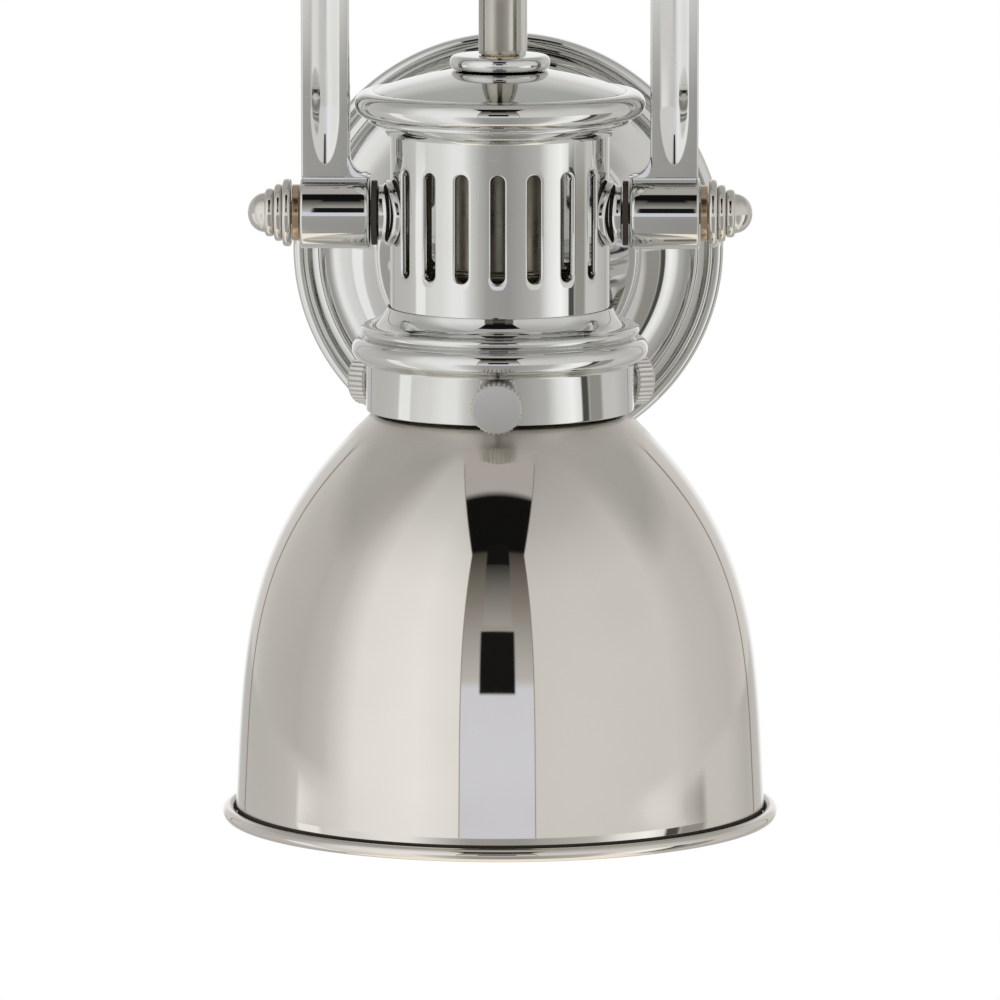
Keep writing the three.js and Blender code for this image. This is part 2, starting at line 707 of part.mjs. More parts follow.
function yokeArm(side) {
  const webWidth = BARREL.length - YOKE.webInset * 2;
  const webHeight = BARREL.radius;
  const web = new THREE.BoxGeometry(webWidth, YOKE.webDepth, webHeight);
  web.translate(barrelInner + BARREL.length / 2, 0, footRise + YOKE.armEdge * 2 - webHeight / 2);
  const blank = join(slab(armOutline(), YOKE.armDepth, YOKE.armEdge), barrel(), web);
  const pivotBore = bar(PIVOT_STUD.radius + RUNNING, barrelInner - OVERRUN, barrelOuter + OVERRUN);
  const holeEnd = armTop - CROWN_SCREW.bite - SEAT;
  const screwHole = bar(CROWN_SCREW.radius + SLIP, holeEnd, armTop + OVERRUN, SCREW_SIDES);
  const cutters = [pivotBore.rotateY(QUARTER_TURN), screwHole.translate(crownScrewCentre, 0, 0)];
  const right = cut(blank, ...cutters, fluteCutter(1), fluteCutter(-1));
  return geometryOf(solidOf(right.scale(side, 1, 1)));
}

// A flanged insulating bush along Z. Its flange's outer face is at a height.
// Its spigot goes up or down from there.
function bushing(face, direction, spigotRadius) {
  const flange = face + direction * BUSHING.flangeHeight;
  const end = face + direction * (BUSHING.flangeHeight + BUSHING.length);
  const path = pathFrom(BUSHING.bore, face).lineTo(BUSHING.flangeRadius, face);
  path.lineTo(BUSHING.flangeRadius, flange).lineTo(spigotRadius, flange);
  return turnedPath(path.lineTo(spigotRadius, end).lineTo(BUSHING.bore, end), INNER_SIDES);
}

function yokeGroup() {
  const bushFace = YOKE_HEIGHT - SEAT - BUSHING.flangeHeight;
  const ferrule = ring({ ...FERRULE, radius: tubeSocket + FERRULE.reach }, tubeSocket, crownTop + SEAT);
  const pieces = group(
    part("yoke_crown", crown(), POLISHED_NICKEL),
    part("crown_ferrule", ferrule, POLISHED_NICKEL),
    part("crown_bushing", bushing(bushFace, 1, CROWN.boreRadius - SLIP), NYLON),
  );
  for (const [name, side] of Object.entries(SIDES)) {
    const crownScrew = domedScrew(CROWN_SCREW, crownTop, armTop - CROWN_SCREW.bite);
    const screw = part("crown_screw_" + name, crownScrew, SATIN_NICKEL);
    screw.position.x = side * crownScrewCentre;
    pieces.add(screw, part("yoke_arm_" + name, yokeArm(side), POLISHED_NICKEL));
  }
  return pieces;
}

// Lamp head. Here the pivots are at the origin too.

function housing() {
  const tube = sleeve(HOUSING.radius, housingBore, HOUSING.bottom, HOUSING.top, LARGE_SIDES);
  const slot = slotCutter(SLOTS.width, SLOTS.length, housingBore - OVERRUN, HOUSING.radius + OVERRUN);
  slot.rotateX(QUARTER_TURN).translate(0, 0, -SLOTS.drop);
  const cutters = [];
  const last = (SLOTS.perFace - 1) / 2;
  for (const face of [0, HALF_TURN]) {
    for (let i = -last; i <= last; i++) {
      cutters.push(slot.clone().rotateZ(face + i * SLOTS.pitch));
    }
  }
  const across = HOUSING.radius + OVERRUN;
  cutters.push(bar(pivotHole, -across, across).rotateY(QUARTER_TURN));
  return cut(tube, ...cutters);
}

// The cap's dome between its flat seat and its shoulder, lowered for the inside.
function domePoints(drop, steps = CAP.domeSteps) {
  const start = new THREE.Vector2(CAP.seatRadius - drop / 2, capSeat - drop);
  const shoulder = HOUSING.top + CAP.shoulderRise;
  const end = new THREE.Vector2(housingSeat + CAP.shoulderReach - drop, shoulder - drop);
  const curve = new THREE.QuadraticBezierCurve(start, between(start, end, CAP.domeShares), end);
  return [new THREE.Vector2(nippleHole, start.y), ...curve.getPoints(steps)];
}

function capBody() {
  const ledge = HOUSING.top + SEAT;
  const rimHeight = HOUSING.top + CAP.rimRise;
  const bead = housingSeat + CAP.beadReach;
  const beadHeight = HOUSING.top + CAP.beadRise;
  const skirtBottom = HOUSING.top - CAP.skirtDrop;
  const skirtTop = new THREE.Vector2(bead - CAP.beadRadius, beadHeight - CAP.beadRadius);
  const skirtEnd = new THREE.Vector2(housingSeat + CAP.skirtLip, skirtBottom);
  const skirtBend = between(skirtTop, skirtEnd, CAP.skirtShares);
  const skirt = new THREE.QuadraticBezierCurve(skirtTop, skirtBend, skirtEnd);
  const outline = [
    ...domePoints(0),
    ...arc(capRim, rimHeight, CAP.rimRadius, CAP.rimFrom, CAP.rimTo, CAP.rimSteps),
    ...arc(bead, beadHeight, CAP.beadRadius, CAP.beadFrom, CAP.beadTo, CAP.beadSteps),
    ...skirt.getPoints(ARC_STEPS),
    new THREE.Vector2(housingSeat, skirtBottom),
    new THREE.Vector2(housingSeat, ledge),
    new THREE.Vector2(housingBore, ledge),
    new THREE.Vector2(housingBore, rimHeight),
    ...domePoints(CAP.wall, BACK_STEPS).reverse(),
  ];
  return turned(outline, LARGE_SIDES);
}

// The stepped flare and plain band that the shade hangs in, with a ledge for the housing.
function shadeHolder() {
  const at = (radius, drop) => new THREE.Vector2(radius, HOUSING.bottom - drop);
  const top = at(housingSeat + HOLDER.lip, -HOLDER.topRise);
  const coveEnd = at(bandRadius - HOLDER.coveInset, HOLDER.coveDrop);
  const cove = new THREE.QuadraticBezierCurve(top, between(top, coveEnd, HOLDER.coveShares), coveEnd);
  const small = at(bandRadius + HOLDER.smallBeadReach, HOLDER.smallBeadDrop);
  const bead = at(bandRadius + HOLDER.beadReach, HOLDER.beadDrop);
  const { smallBeadRadius, smallBeadFrom, smallBeadTo, smallBeadSteps } = HOLDER;
  const outline = [
    at(housingSeat, -HOLDER.topRise),
    ...cove.getPoints(ARC_STEPS),
    ...arc(small.x, small.y, smallBeadRadius, smallBeadFrom, smallBeadTo, smallBeadSteps),
    ...arc(bead.x, bead.y, HOLDER.beadRadius, HOLDER.beadFrom, HOLDER.beadTo, HOLDER.beadSteps),
    at(bandRadius, HOLDER.bandTopDrop),
    at(bandRadius, HOLDER.bandBottomDrop),
    at(bandBore, HOLDER.bandBottomDrop),
    at(bandBore, HOLDER.beadDrop),
    at(bandBore - HOLDER.wall, HOLDER.coveDrop + HOLDER.wall),
    at(housingBore, SEAT + HOLDER.throatDrop),
    at(housingBore, SEAT),
    at(housingSeat, SEAT),
  ];
  const shankHole = THUMBSCREW.shankRadius + SLIP;
  const drill = bar(shankHole, bandBore - OVERRUN, bandRadius + OVERRUN, SCREW_SIDES);
  drill.rotateX(QUARTER_TURN).translate(0, 0, thumbscrewHeight);
  const drills = THUMBSCREW_NAMES.map((name, i) => drill.clone().rotateZ(i * THUMBSCREW.spread));
  return cut(turned(outline, LARGE_SIDES), ...drills);
}

// Pivot pieces. Here Z runs out from the head's axis along the pivot.

function pivotBoss() {
  const { padWidth, padHeight, neckRadius } = BOSS;
  const oval = bar(padHeight / 2, 0, padRadius, MEDIUM_SIDES).scale(1, padWidth / padHeight, 1);
  const drum = (radius) => bar(radius, -padHeight, padHeight, LARGE_SIDES * 2).rotateY(QUARTER_TURN);
  const blank = join(common(oval, drum(padRadius)), bar(neckRadius, 0, bossFace, MEDIUM_SIDES));
  return cut(blank, drum(housingSeat), bar(pivotHole, 0, bossFace + OVERRUN));
}

function pivotStud() {
  const { radius, headRadius, headHeight } = PIVOT_STUD;
  const face = Math.sqrt(housingBore * housingBore - headRadius * headRadius) - SEAT;
  const path = pathFrom(0, face - headHeight).lineTo(headRadius, face - headHeight);
  path.lineTo(headRadius, face).lineTo(radius, face).lineTo(radius, pivotStudEnd);
  return turnedPath(path.lineTo(0, pivotStudEnd), INNER_SIDES);
}

function pivotNut() {
  const path = pathFrom(pivotHole, pivotNutFace);
  let z = pivotNutFace;
  for (const { radius, width } of PIVOT_NUT.rings) {
    path.lineTo(radius - PIVOT_NUT.bulge, z).quadraticCurveTo(radius, z, radius, z + width / 2);
    path.quadraticCurveTo(radius, z + width, radius - PIVOT_NUT.bulge, z + width);
    z += width;
  }
  path.absellipse(0, z, PIVOT_NUT.noseRadius, PIVOT_NUT.noseLength, 0, QUARTER_TURN, false, 0);
  const boreEnd = pivotStudEnd + SEAT;
  return turnedPath(path.lineTo(0, boreEnd).lineTo(pivotHole, boreEnd), SMALL_SIDES, BACK_STEPS);
}

function pivotGroup(name, side) {
  const washer = sleeve(WASHER.radius, pivotHole, washerFace, washerFace + WASHER.thickness);
  const spacer = sleeve(SPACER.radius, pivotHole, spacerFace, spacerFace + SPACER.thickness);
  const pieces = group(
    part("pivot_boss_" + name, pivotBoss(), POLISHED_NICKEL),
    part("pivot_stud_" + name, pivotStud(), ZINC_STEEL),
    part("friction_washer_" + name, washer, BLACK_FIBRE),
    part("pivot_spacer_" + name, spacer, WARM_NICKEL),
    part("pivot_nut_" + name, pivotNut(), WARM_NICKEL),
  );
  pieces.rotation.y = side * QUARTER_TURN;
  return pieces;
}

// A knurled thumbscrew along Z, with z = 0 on the band's face.
function thumbscrew() {
  const { headRadius, toothDepth, teeth, headHeight, neckRadius, neckLength, shankRadius } = THUMBSCREW;
  const corners = [];
  for (let i = 0; i < teeth * 2; i++) {
    const radius = i % 2 === 0 ? headRadius : headRadius - toothDepth;
    const angle = (i / teeth) * HALF_TURN;
    corners.push(new THREE.Vector2(radius * Math.cos(angle), radius * Math.sin(angle)));
  }
  const shape = new THREE.Shape(corners);
  const head = new THREE.ExtrudeGeometry(shape, { depth: headHeight, bevelEnabled: false });
  head.translate(0, 0, neckLength);
  const tip = shadeNeck + SEAT - bandRadius;
  return join(
    head,
    bar(neckRadius, SEAT, neckLength + SEAT, SCREW_SIDES),
    bar(shankRadius, tip, neckLength, SCREW_SIDES),
  );
}

function thumbscrewGroup() {
  return group(
    ...THUMBSCREW_NAMES.map((name, i) => {
      const screw = part("thumbscrew_" + name, thumbscrew(), SATIN_NICKEL);
      screw.position.set(0, -bandRadius, thumbscrewHeight);
      screw.rotation.x = QUARTER_TURN;
      const turntable = group(screw);
      turntable.rotation.z = i * THUMBSCREW.spread;
      return turntable;
    }),
  );
}

// The bell of the shade from its shoulder to its rim, moved in by the wall for the inside.
function bellPoints(inset, steps) {
  const start = new THREE.Vector2(shoulderRadius - inset / 2, shoulderHeight - inset);
  const end = new THREE.Vector2(bellRadius - inset, bellBottom);
  const pulls = [SHADE.firstShares, SHADE.secondShares].map((shares) => between(start, end, shares));
  return new THREE.CubicBezierCurve(start, ...pulls, end).getPoints(steps);
}

function shade() {
  const inner = shadeNeck - SHADE.wall;
  const neckTop = bandBottom + SHADE.neckInsert;
  const outline = [
    new THREE.Vector2(inner, neckTop),
    new THREE.Vector2(shadeNeck, neckTop),
    new THREE.Vector2(shadeNeck, shoulderHeight + SHADE.wall),
    ...bellPoints(0, SHADE.bellSteps),
    ...arc(lipCentre, lipHeight, SHADE.lipRadius, SHADE.lipFrom, SHADE.lipTo, SHADE.lipSteps),
    new THREE.Vector2(bellRadius - SHADE.wall, lipHeight),
    ...bellPoints(SHADE.wall, SHADE.backSteps).reverse(),
    new THREE.Vector2(inner, shoulderHeight),
  ];
  return turned(outline, LARGE_SIDES);
}

// Lampholder and bulb. Here z = 0 is the top of the lampholder's cap.

function socketShell() {
  const { shellRadius, shellBottom, shellTop, beadHeight, beadRadius } = SOCKET;
  const path = pathFrom(shellBore, shellBottom).lineTo(shellRadius, shellBottom);
  path.absarc(shellRadius, beadHeight, beadRadius, -QUARTER_TURN, QUARTER_TURN, false);
  path.lineTo(shellRadius, shellTop).lineTo(shellBore, shellTop);
  return turnedPath(path, INNER_SIDES, BACK_STEPS);
}

function socketCap() {
  const { capBottom, capShoulder, capNeckRadius, capNeckBottom, capWall } = SOCKET;
  const bore = SOCKET.shellRadius + SEAT;
  const radius = bore + capWall;
  const path = pathFrom(bore, capBottom).lineTo(radius, capBottom).lineTo(radius, capShoulder);
  path.quadraticCurveTo(radius, capNeckBottom, capNeckRadius, capNeckBottom).lineTo(capNeckRadius, 0);
  path.lineTo(nippleHole, 0).lineTo(nippleHole, capNeckBottom - capWall);
  path.quadraticCurveTo(bore, capNeckBottom - capWall, bore, capShoulder);
  return turnedPath(path, INNER_SIDES);
}

function socketCore() {
  const { coreTop, coreBottom, spigotLength } = SOCKET;
  const radius = linerBore - SEAT;
  const spigot = screwBore - SEAT;
  const path = pathFrom(0, coreBottom - spigotLength).lineTo(spigot, coreBottom - spigotLength);
  path.lineTo(spigot, coreBottom).lineTo(radius, coreBottom).lineTo(radius, coreTop).lineTo(0, coreTop);
  return turnedPath(path, INNER_SIDES);
}

// The springy strip between the core and the bulb's tip.
function centreContact() {
  const { contactLength, contactWidth, contactThickness } = SOCKET;
  const half = contactLength / 2;
  const top = SOCKET.coreBottom - SOCKET.spigotLength - SEAT;
  const low = BULB.tipTop + SEAT;
  const shape = new THREE.Shape().moveTo(-half, top).lineTo(-half, top - contactThickness);
  shape.lineTo(-contactThickness, top - contactThickness).lineTo(0, low).lineTo(half, low);
  shape.lineTo(half, low + contactThickness).lineTo(contactThickness, low + contactThickness);
  return slab(shape.lineTo(0, top), contactWidth);
}

function bulbBase() {
  const { baseWall, baseBottom, tipTop, tipRadius, tipHeight, insulatorRadius, insulatorHeight } = BULB;
  const shoulder = tipTop - tipHeight;
  const rim = shoulder - insulatorHeight;
  const path = pathFrom(0, tipTop).lineTo(tipRadius - tipHeight, tipTop).lineTo(tipRadius, shoulder);
  path.lineTo(insulatorRadius, shoulder - insulatorHeight / 2).lineTo(baseRadius, rim);
  const bore = baseRadius - baseWall;
  path.lineTo(baseRadius, baseBottom).lineTo(bore, baseBottom).lineTo(bore, rim);
  return turnedPath(path.lineTo(0, rim), INNER_SIDES);
}

// The bulb's wall from its open neck to the bottom of its ball, or the inside of that wall.
function glassLine(inset) {
  const { glassRadius, glassCentre, neckShare, bellyShare } = BULB;
  const top = BULB.baseBottom - SEAT;
  const drop = top - glassCentre;
  const [neck, ball] = [baseRadius - BULB.neckInset - inset, glassRadius - inset];
  const path = pathFrom(neck, top);
  const [neckPull, bellyPull] = [top - drop * neckShare, glassCentre + drop * bellyShare];
  path.bezierCurveTo(neck, neckPull, ball, bellyPull, ball, glassCentre);
  return path.absarc(0, glassCentre, ball, 0, -QUARTER_TURN, true);
}

function bulbGlass() {
  const outside = glassLine(0).getPoints(BULB.glassSteps);
  const inside = glassLine(BULB.glassWall).getPoints(BULB.glassSteps).reverse();
  return turned([...outside, ...inside], INNER_SIDES);
}

function socketGroup() {
  const { coreBottom, screwBottom, shellBottom, linerInset, linerTop } = SOCKET;
  const liner = sleeve(linerRadius, linerBore, shellBottom + linerInset, linerTop, INNER_SIDES);
  const screwShell = sleeve(screwRadius, screwBore, screwBottom, coreBottom - SEAT, INNER_SIDES);
  const pieces = group(
    part("socket_cap", socketCap(), RAW_ALUMINIUM),
    part("socket_shell", socketShell(), RAW_ALUMINIUM),
    part("socket_liner", liner, CARD),
    part("socket_core", socketCore(), PORCELAIN),
    part("screw_shell", screwShell, BRASS),
    part("centre_contact", centreContact(), BRASS),
    part("bulb_base", bulbBase(), RAW_ALUMINIUM),
    part("bulb_glass", bulbGlass(), FROSTED_GLASS),
  );
  pieces.position.z = socketTop;
  return pieces;
}

function headGroup() {
  const nippleStart = socketTop + SOCKET.capNeckBottom;
  const nipple = sleeve(NIPPLE.radius, nippleBore, nippleStart, collarTop + NIPPLE.grip, INNER_SIDES);
  const bushFace = YOKE_HEIGHT - STEM.crownGap;
  const stemTop = bushFace - BUSHING.flangeHeight - SEAT;
  const stem = sleeve(nippleHole + STEM.wall, nippleHole, collarTop + SEAT, stemTop);
  const pieces = group(
    part("housing", housing(), POLISHED_NICKEL),
    part("cap", capBody(), POLISHED_NICKEL),
    part("collar", ring(COLLAR, nippleHole, collarBase), POLISHED_NICKEL),
    part("stem", stem, POLISHED_NICKEL),
    part("stem_bushing", bushing(bushFace, -1, nippleHole - SLIP), NYLON),
    part("head_nipple", nipple, BRASS),
    part("head_locknut", locknut(headLocknutTop), BRASS),
    part("shade_holder", shadeHolder(), POLISHED_NICKEL),
    part("shade", shade(), WARM_NICKEL),
    thumbscrewGroup(),
    socketGroup(),
  );
  Object.entries(SIDES).forEach(([name, side]) => pieces.add(pivotGroup(name, side)));
  return pieces;
}

const atPivots = group(yokeGroup(), headGroup());
atPivots.position.set(0, -headReach, PIVOT_RISE);

export default group(plateGroup(), part("gooseneck_arm", gooseneckArm(), POLISHED_NICKEL), atPivots);
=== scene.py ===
"""Looks of the wall light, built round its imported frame.

Forms are drawn in millimetres, each in its own piece's space, and placed in the frame in metres.
"""

import logging
import math
from collections.abc import Callable, Sequence
from dataclasses import dataclass, field
from enum import Enum

import bmesh
import bpy
from mathutils import Matrix, Vector


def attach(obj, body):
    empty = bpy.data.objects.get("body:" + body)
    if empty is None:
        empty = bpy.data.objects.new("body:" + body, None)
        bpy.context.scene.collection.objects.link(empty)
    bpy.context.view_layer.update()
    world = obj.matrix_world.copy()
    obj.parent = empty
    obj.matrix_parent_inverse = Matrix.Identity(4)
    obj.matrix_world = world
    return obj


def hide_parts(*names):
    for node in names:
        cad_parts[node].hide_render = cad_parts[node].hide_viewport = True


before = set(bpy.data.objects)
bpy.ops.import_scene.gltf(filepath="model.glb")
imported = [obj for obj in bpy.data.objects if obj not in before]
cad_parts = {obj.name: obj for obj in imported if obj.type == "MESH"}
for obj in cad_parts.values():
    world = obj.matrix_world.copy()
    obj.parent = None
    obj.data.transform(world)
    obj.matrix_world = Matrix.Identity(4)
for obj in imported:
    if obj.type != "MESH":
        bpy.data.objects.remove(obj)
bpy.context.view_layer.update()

LOG = logging.getLogger("wall_light")
MM = 0.001

# Steps round a turned form, for wide pieces, most pieces and small ones
WIDE_SIDES = 192
TURN_SIDES = 144
SMALL_SIDES = 72
# Edges bent by more than this many degrees stay sharp
CREASE_DEGREES = 32.0
# Points closer than the first are merged, and edges shorter than the second go, in metres
MERGE_DISTANCE = 1e-7
THINNEST_EDGE = 1e-8
# A corner sharper or flatter than these angles isn't rounded, and a fillet takes this share of a line at most
SHARPEST = 0.05
FLATTEST = 0.02
FILLET_REACH = 0.48
FILLET_STEPS = (0.0, 0.25, 0.5, 0.75, 1.0)
# The least share that the normals of a slab's corners are divided by, so that sharp ones don't reach far
MITRE_LIMIT = 0.2
# A length smaller than this counts as nothing
TINY = 1e-6
# A bent run has a step for each of so many degrees, and no fewer than the second
BEND_STEP = 4
LEAST_STEPS = 6

# A radius and a height, or two other lengths that belong together
Point = tuple[float, float]
# The radius and height of a bead's centre, and the bead's own radius
Bead = tuple[float, float, float]


# Places and fits of the assemblies in millimetres, as the part's source has them

HEAD_REACH = 115.0
PIVOT_RISE = 22.0
RISER_REACH = 55.0
CROWN_RISE = 92.0
CROWN_TOP = 113.4
HOUSING_RADIUS = 30.0
HOUSING_BORE = 28.4
HOUSING_SEAT = 30.3
BAND_RADIUS = 36.7
TUBE_SEAT = 6.65
NIPPLE_SEAT = 5.1
SEAT = 0.3


def shifted(x: float, y: float, z: float) -> Matrix:
    """Returns the move by a vector given in millimetres."""
    return Matrix.Translation((x * MM, y * MM, z * MM))


WALL = Matrix.Rotation(math.radians(90), 4, "X")
HEAD = shifted(0, -HEAD_REACH, PIVOT_RISE)


class Side(Enum):
    """The two sides of the light, seen from the room."""

    LEFT = -1
    RIGHT = 1

    @property
    def word(self) -> str:
        """Returns the side's name as the nodes have it."""
        return self.name.lower()

    @property
    def pivot(self) -> Matrix:
        """Returns the place whose local Z runs out along the pivot on this side."""
        return HEAD @ Matrix.Rotation(math.radians(90 * self.value), 4, "Y")


class End(Enum):
    """The two ends of the mounting bar."""

    LOWER = -1
    UPPER = 1

    @property
    def word(self) -> str:
        """Returns the end's name as the nodes have it."""
        return self.name.lower()


# Drawing of outlines and forms


class Pen:
    """Draws a chain of points in the plane of radius and height."""

    def __init__(self, radius: float, height: float) -> None:
        """Starts the chain at a radius and a height."""
        self._corners: list[tuple[Point, float]] = [((radius, height), 0.0)]

    def to(self, radius: float, height: float, fillet: float = 0.0) -> "Pen":
        """Draws a straight line to a corner.

        Args:
            radius: the corner's radius.
            height: the corner's height.
            fillet: how round the corner is, as a radius.

        Returns:
            The pen itself.
        """
        self._corners.append(((radius, height), fillet))
        return self

    def arc(self, bead: Bead, start: float, end: float, steps: int = 12) -> "Pen":
        """Draws an arc round a bead.

        Args:
            bead: the bead that it follows.
            start: where it starts, in degrees from straight out towards up.
            end: where it ends, in the same way.
            steps: how many straight steps it has.

        Returns:
            The pen itself.
        """
        radius, height, size = bead
        for i in range(steps + 1):
            angle = math.radians(start + (end - start) * i / steps)
            self.to(radius + size * math.cos(angle), height + size * math.sin(angle))
        return self

    def bend(self, *controls: Point, steps: int = 16) -> "Pen":
        """Draws a smooth curve from the last point to the last control.

        Args:
            controls: the points that pull the curve towards them, and its end.
            steps: how many straight steps it has.

        Returns:
            The pen itself.
        """
        chain = [self._corners[-1][0], *controls]
        for i in range(1, steps + 1):
            share, points = i / steps, list(chain)
            while len(points) > 1:
                points = [
                    (a[0] + (b[0] - a[0]) * share, a[1] + (b[1] - a[1]) * share)
                    for a, b in zip(points, points[1:])
                ]
            self.to(*points[0])
        return self

    def points(self) -> list[Point]:
        """Gathers the chain.

        Returns:
            Its points, with the marked corners rounded.
        """
        made: list[Point] = []
        last = len(self._corners) - 1
        for i, (corner, fillet) in enumerate(self._corners):
            if fillet <= 0 or i in (0, last):
                made.append(corner)
            else:
                made.extend(rounded(self._corners[i - 1][0], corner, self._corners[i + 1][0], fillet))
        return made


def rounded(before: Point, corner: Point, after: Point, fillet: float) -> list[Point]:
    """Returns the points of a rounded corner between two straight lines.

    Args:
        before: the point before the corner.
        corner: the sharp corner.
        after: the point after the corner.
        fillet: the radius wanted, made smaller where the lines are short.

    Returns:
        Five points from one line to the other, or the corner itself where it can't be rounded.
    """
    here = Vector(corner)
    back, onward = Vector(before) - here, Vector(after) - here
    half = back.angle(onward, 0.0) / 2
    if half < SHARPEST or half > math.pi / 2 - FLATTEST:
        return [corner]
    reach = min(fillet / math.tan(half), back.length * FILLET_REACH, onward.length * FILLET_REACH)
    start, end = here + back.normalized() * reach, here + onward.normalized() * reach
    return [tuple(start * (1 - t) ** 2 + here * (2 * t * (1 - t)) + end * t**2) for t in FILLET_STEPS]


def quarter(radius: float, steps: int) -> list[Point]:
    """Returns what a rounded edge takes off its first and its second face, from the first face on.

    Args:
        radius: the edge's radius.
        steps: how many straight steps it has.

    Returns:
        The two lengths for each point of the edge.
    """
    angles = [math.pi / 2 * i / steps for i in range(steps + 1)]
    return [(radius * (1 - math.cos(angle)), radius * (1 - math.sin(angle))) for angle in angles]


@dataclass
class Form:
    """Vertices in millimetres and faces, gathered before they become a mesh."""

    vertices: list[Vector] = field(default_factory=list)
    faces: list[tuple[int, ...]] = field(default_factory=list)

    def loft(self, rings: Sequence[Sequence[Vector]], closed: bool = False, caps: bool = True) -> "Form":
        """Adds a skin over a row of rings.

        Args:
            rings: the rings, each with the same number of points.
            closed: whether the last ring joins the first.
            caps: whether the first and last rings are filled.

        Returns:
            The form itself.
        """
        base, size, count = len(self.vertices), len(rings[0]), len(rings)
        for ring in rings:
            self.vertices.extend(ring)
        for i in range(count if closed else count - 1):
            here, there = base + i * size, base + (i + 1) % count * size
            for j in range(size):
                k = (j + 1) % size
                self.faces.append((here + j, here + k, there + k, there + j))
        if caps and not closed:
            self.faces.append(tuple(range(base + size - 1, base - 1, -1)))
            self.faces.append(tuple(range(base + (count - 1) * size, base + count * size)))
        return self

    def add(self, other: "Form", place: Matrix | None = None) -> "Form":
        """Adds another form.

        Args:
            other: the form to add.
            place: how it is moved, in millimetres.

        Returns:
            The form itself.
        """
        base = len(self.vertices)
        self.vertices.extend(place @ v if place else v for v in other.vertices)
        self.faces.extend(tuple(base + i for i in face) for face in other.faces)
        return self


def turned(
    outline: Sequence[Point],
    sides: int = TURN_SIDES,
    shape: Callable[[float, float], float] | None = None,
) -> Form:
    """Returns the form that an outline sweeps as it turns about Z.

    Args:
        outline: points of radius and height; it closes on itself unless both ends are on the axis.
        sides: steps of the full turn.
        shape: gives what to add to the radius at a radius and an angle, for knurls.

    Returns:
        The closed form.
    """
    rings = []
    for radius, height in outline:
        ring = []
        for i in range(sides):
            angle = math.tau * i / sides - math.pi / 2
            size = radius + (shape(radius, angle) if shape else 0.0)
            ring.append(Vector((size * math.cos(angle), size * math.sin(angle), height)))
        rings.append(ring)
    open_chain = outline[0][0] < TINY and outline[-1][0] < TINY
    return Form().loft(rings, closed=not open_chain, caps=False)


def circle(radius: float, sides: int) -> list[Point]:
    """Returns points round a circle."""
    angles = [math.tau * i / sides for i in range(sides)]
    return [(radius * math.cos(angle), radius * math.sin(angle)) for angle in angles]


def run(*stretches: tuple) -> list[tuple[Vector, Vector]]:
    """Returns stations along straight lines and bends in the plane of Y and Z.

    Args:
        stretches: each is ("line", start, end) or ("bend", centre, radius, from angle, to angle), in
            millimetres and degrees, where angles count from +Y towards +Z.

    Returns:
        The points with the direction at each.
    """
    stations = []
    for stretch in stretches:
        if stretch[0] == "line":
            start, end = Vector((0, *stretch[1])), Vector((0, *stretch[2]))
            along = (end - start).normalized()
            stations.extend((start.lerp(end, t), along) for t in (0.0, 1.0))
            continue
        _, centre, radius, first, last = stretch
        steps = max(LEAST_STEPS, int(abs(last - first) / BEND_STEP))
        turn = 1 if last > first else -1
        for i in range(1, steps):
            angle = math.radians(first + (last - first) * i / steps)
            out = Vector((0, math.cos(angle), math.sin(angle)))
            along = Vector((0, -math.sin(angle), math.cos(angle))) * turn
            stations.append((Vector((0, *centre)) + out * radius, along))
    return stations


def threads(radius: float, depth: float, pitch: float, low: float, high: float) -> list[Point]:
    """Returns the zigzag outline of a screw's thread.

    Args:
        radius: the radius over its crests.
        depth: how deep it is cut.
        pitch: the height of a turn, stretched to fit.
        low: where it starts.
        high: where it ends.

    Returns:
        The points from low to high.
    """
    points = []
    count = max(2, int((high - low) / pitch))
    for i in range(count):
        z = low + (high - low) * i / count
        points += [(radius - depth, z), (radius, z + (high - low) / count / 2)]
    return [*points, (radius - depth, high)]


# Finishes


class Grain(Enum):
    """How a metal's face was worked."""

    SPUN = 1.0
    CAST = 0.15


@dataclass(frozen=True)
class Metal:
    """A bare or plated metal: its colours, how dull it is and what the tool left."""

    name: str
    slot: str
    base: Sequence[float]
    tint: Sequence[float]
    dull: tuple[float, float]
    grain: Grain = Grain.CAST
    lines: float = 0.02
    marks: float = 0.03
    satin: float = 0.0
    satin_height: float = 0.0


@dataclass(frozen=True)
class Solid:
    """A finish that isn't metal."""

    name: str
    slot: str
    base: Sequence[float]
    dark: Sequence[float]
    dull: tuple[float, float]
    scale: float = 400.0
    bump: float = 0.1
    coat: float = 0.0


NICKEL = (0.665, 0.67, 0.655)
POLISHED = Metal("polished_nickel", "polished_nickel", NICKEL, (0.62, 0.615, 0.585), (0.015, 0.045))
SPUN_NICKEL = Metal(
    "spun_nickel", "polished_nickel", NICKEL, (0.615, 0.61, 0.58), (0.02, 0.05), Grain.SPUN, lines=0.015
)
# A darker, duller copy of polished nickel for the stem: its darkness is painted shade
SHADED_STEM_NICKEL = Metal(
    "shaded_stem_nickel", "polished_nickel", (0.45, 0.435, 0.39), (0.34, 0.315, 0.26), (0.1, 0.2), marks=0.1
)
BRONZE = Metal(
    "bronze_spacer", "warm_nickel", (0.50, 0.37, 0.25), (0.34, 0.24, 0.15), (0.15, 0.3), Grain.SPUN, lines=0.1
)
# The housing's inside: an unpolished copy of polished nickel, dark brown as painted shade inside the tube
HOUSING_INSIDE_SHADED = Metal(
    "housing_inside_shaded", "polished_nickel", (0.20, 0.175, 0.125), (0.13, 0.11, 0.08), (0.4, 0.55),
    lines=0.1, marks=0.1,
)
SHADE_NICKEL = Metal(
    "shade_nickel", "warm_nickel", (0.68, 0.655, 0.61), (0.645, 0.615, 0.565), (0.015, 0.04), Grain.SPUN,
    lines=0.012, marks=0.01, satin=0.26, satin_height=-62.0,
)
SHADE_INSIDE = Metal(
    "shade_inside", "warm_nickel", (0.66, 0.64, 0.60), (0.58, 0.55, 0.50), (0.3, 0.42), Grain.SPUN,
    lines=0.25, marks=0.05,
)
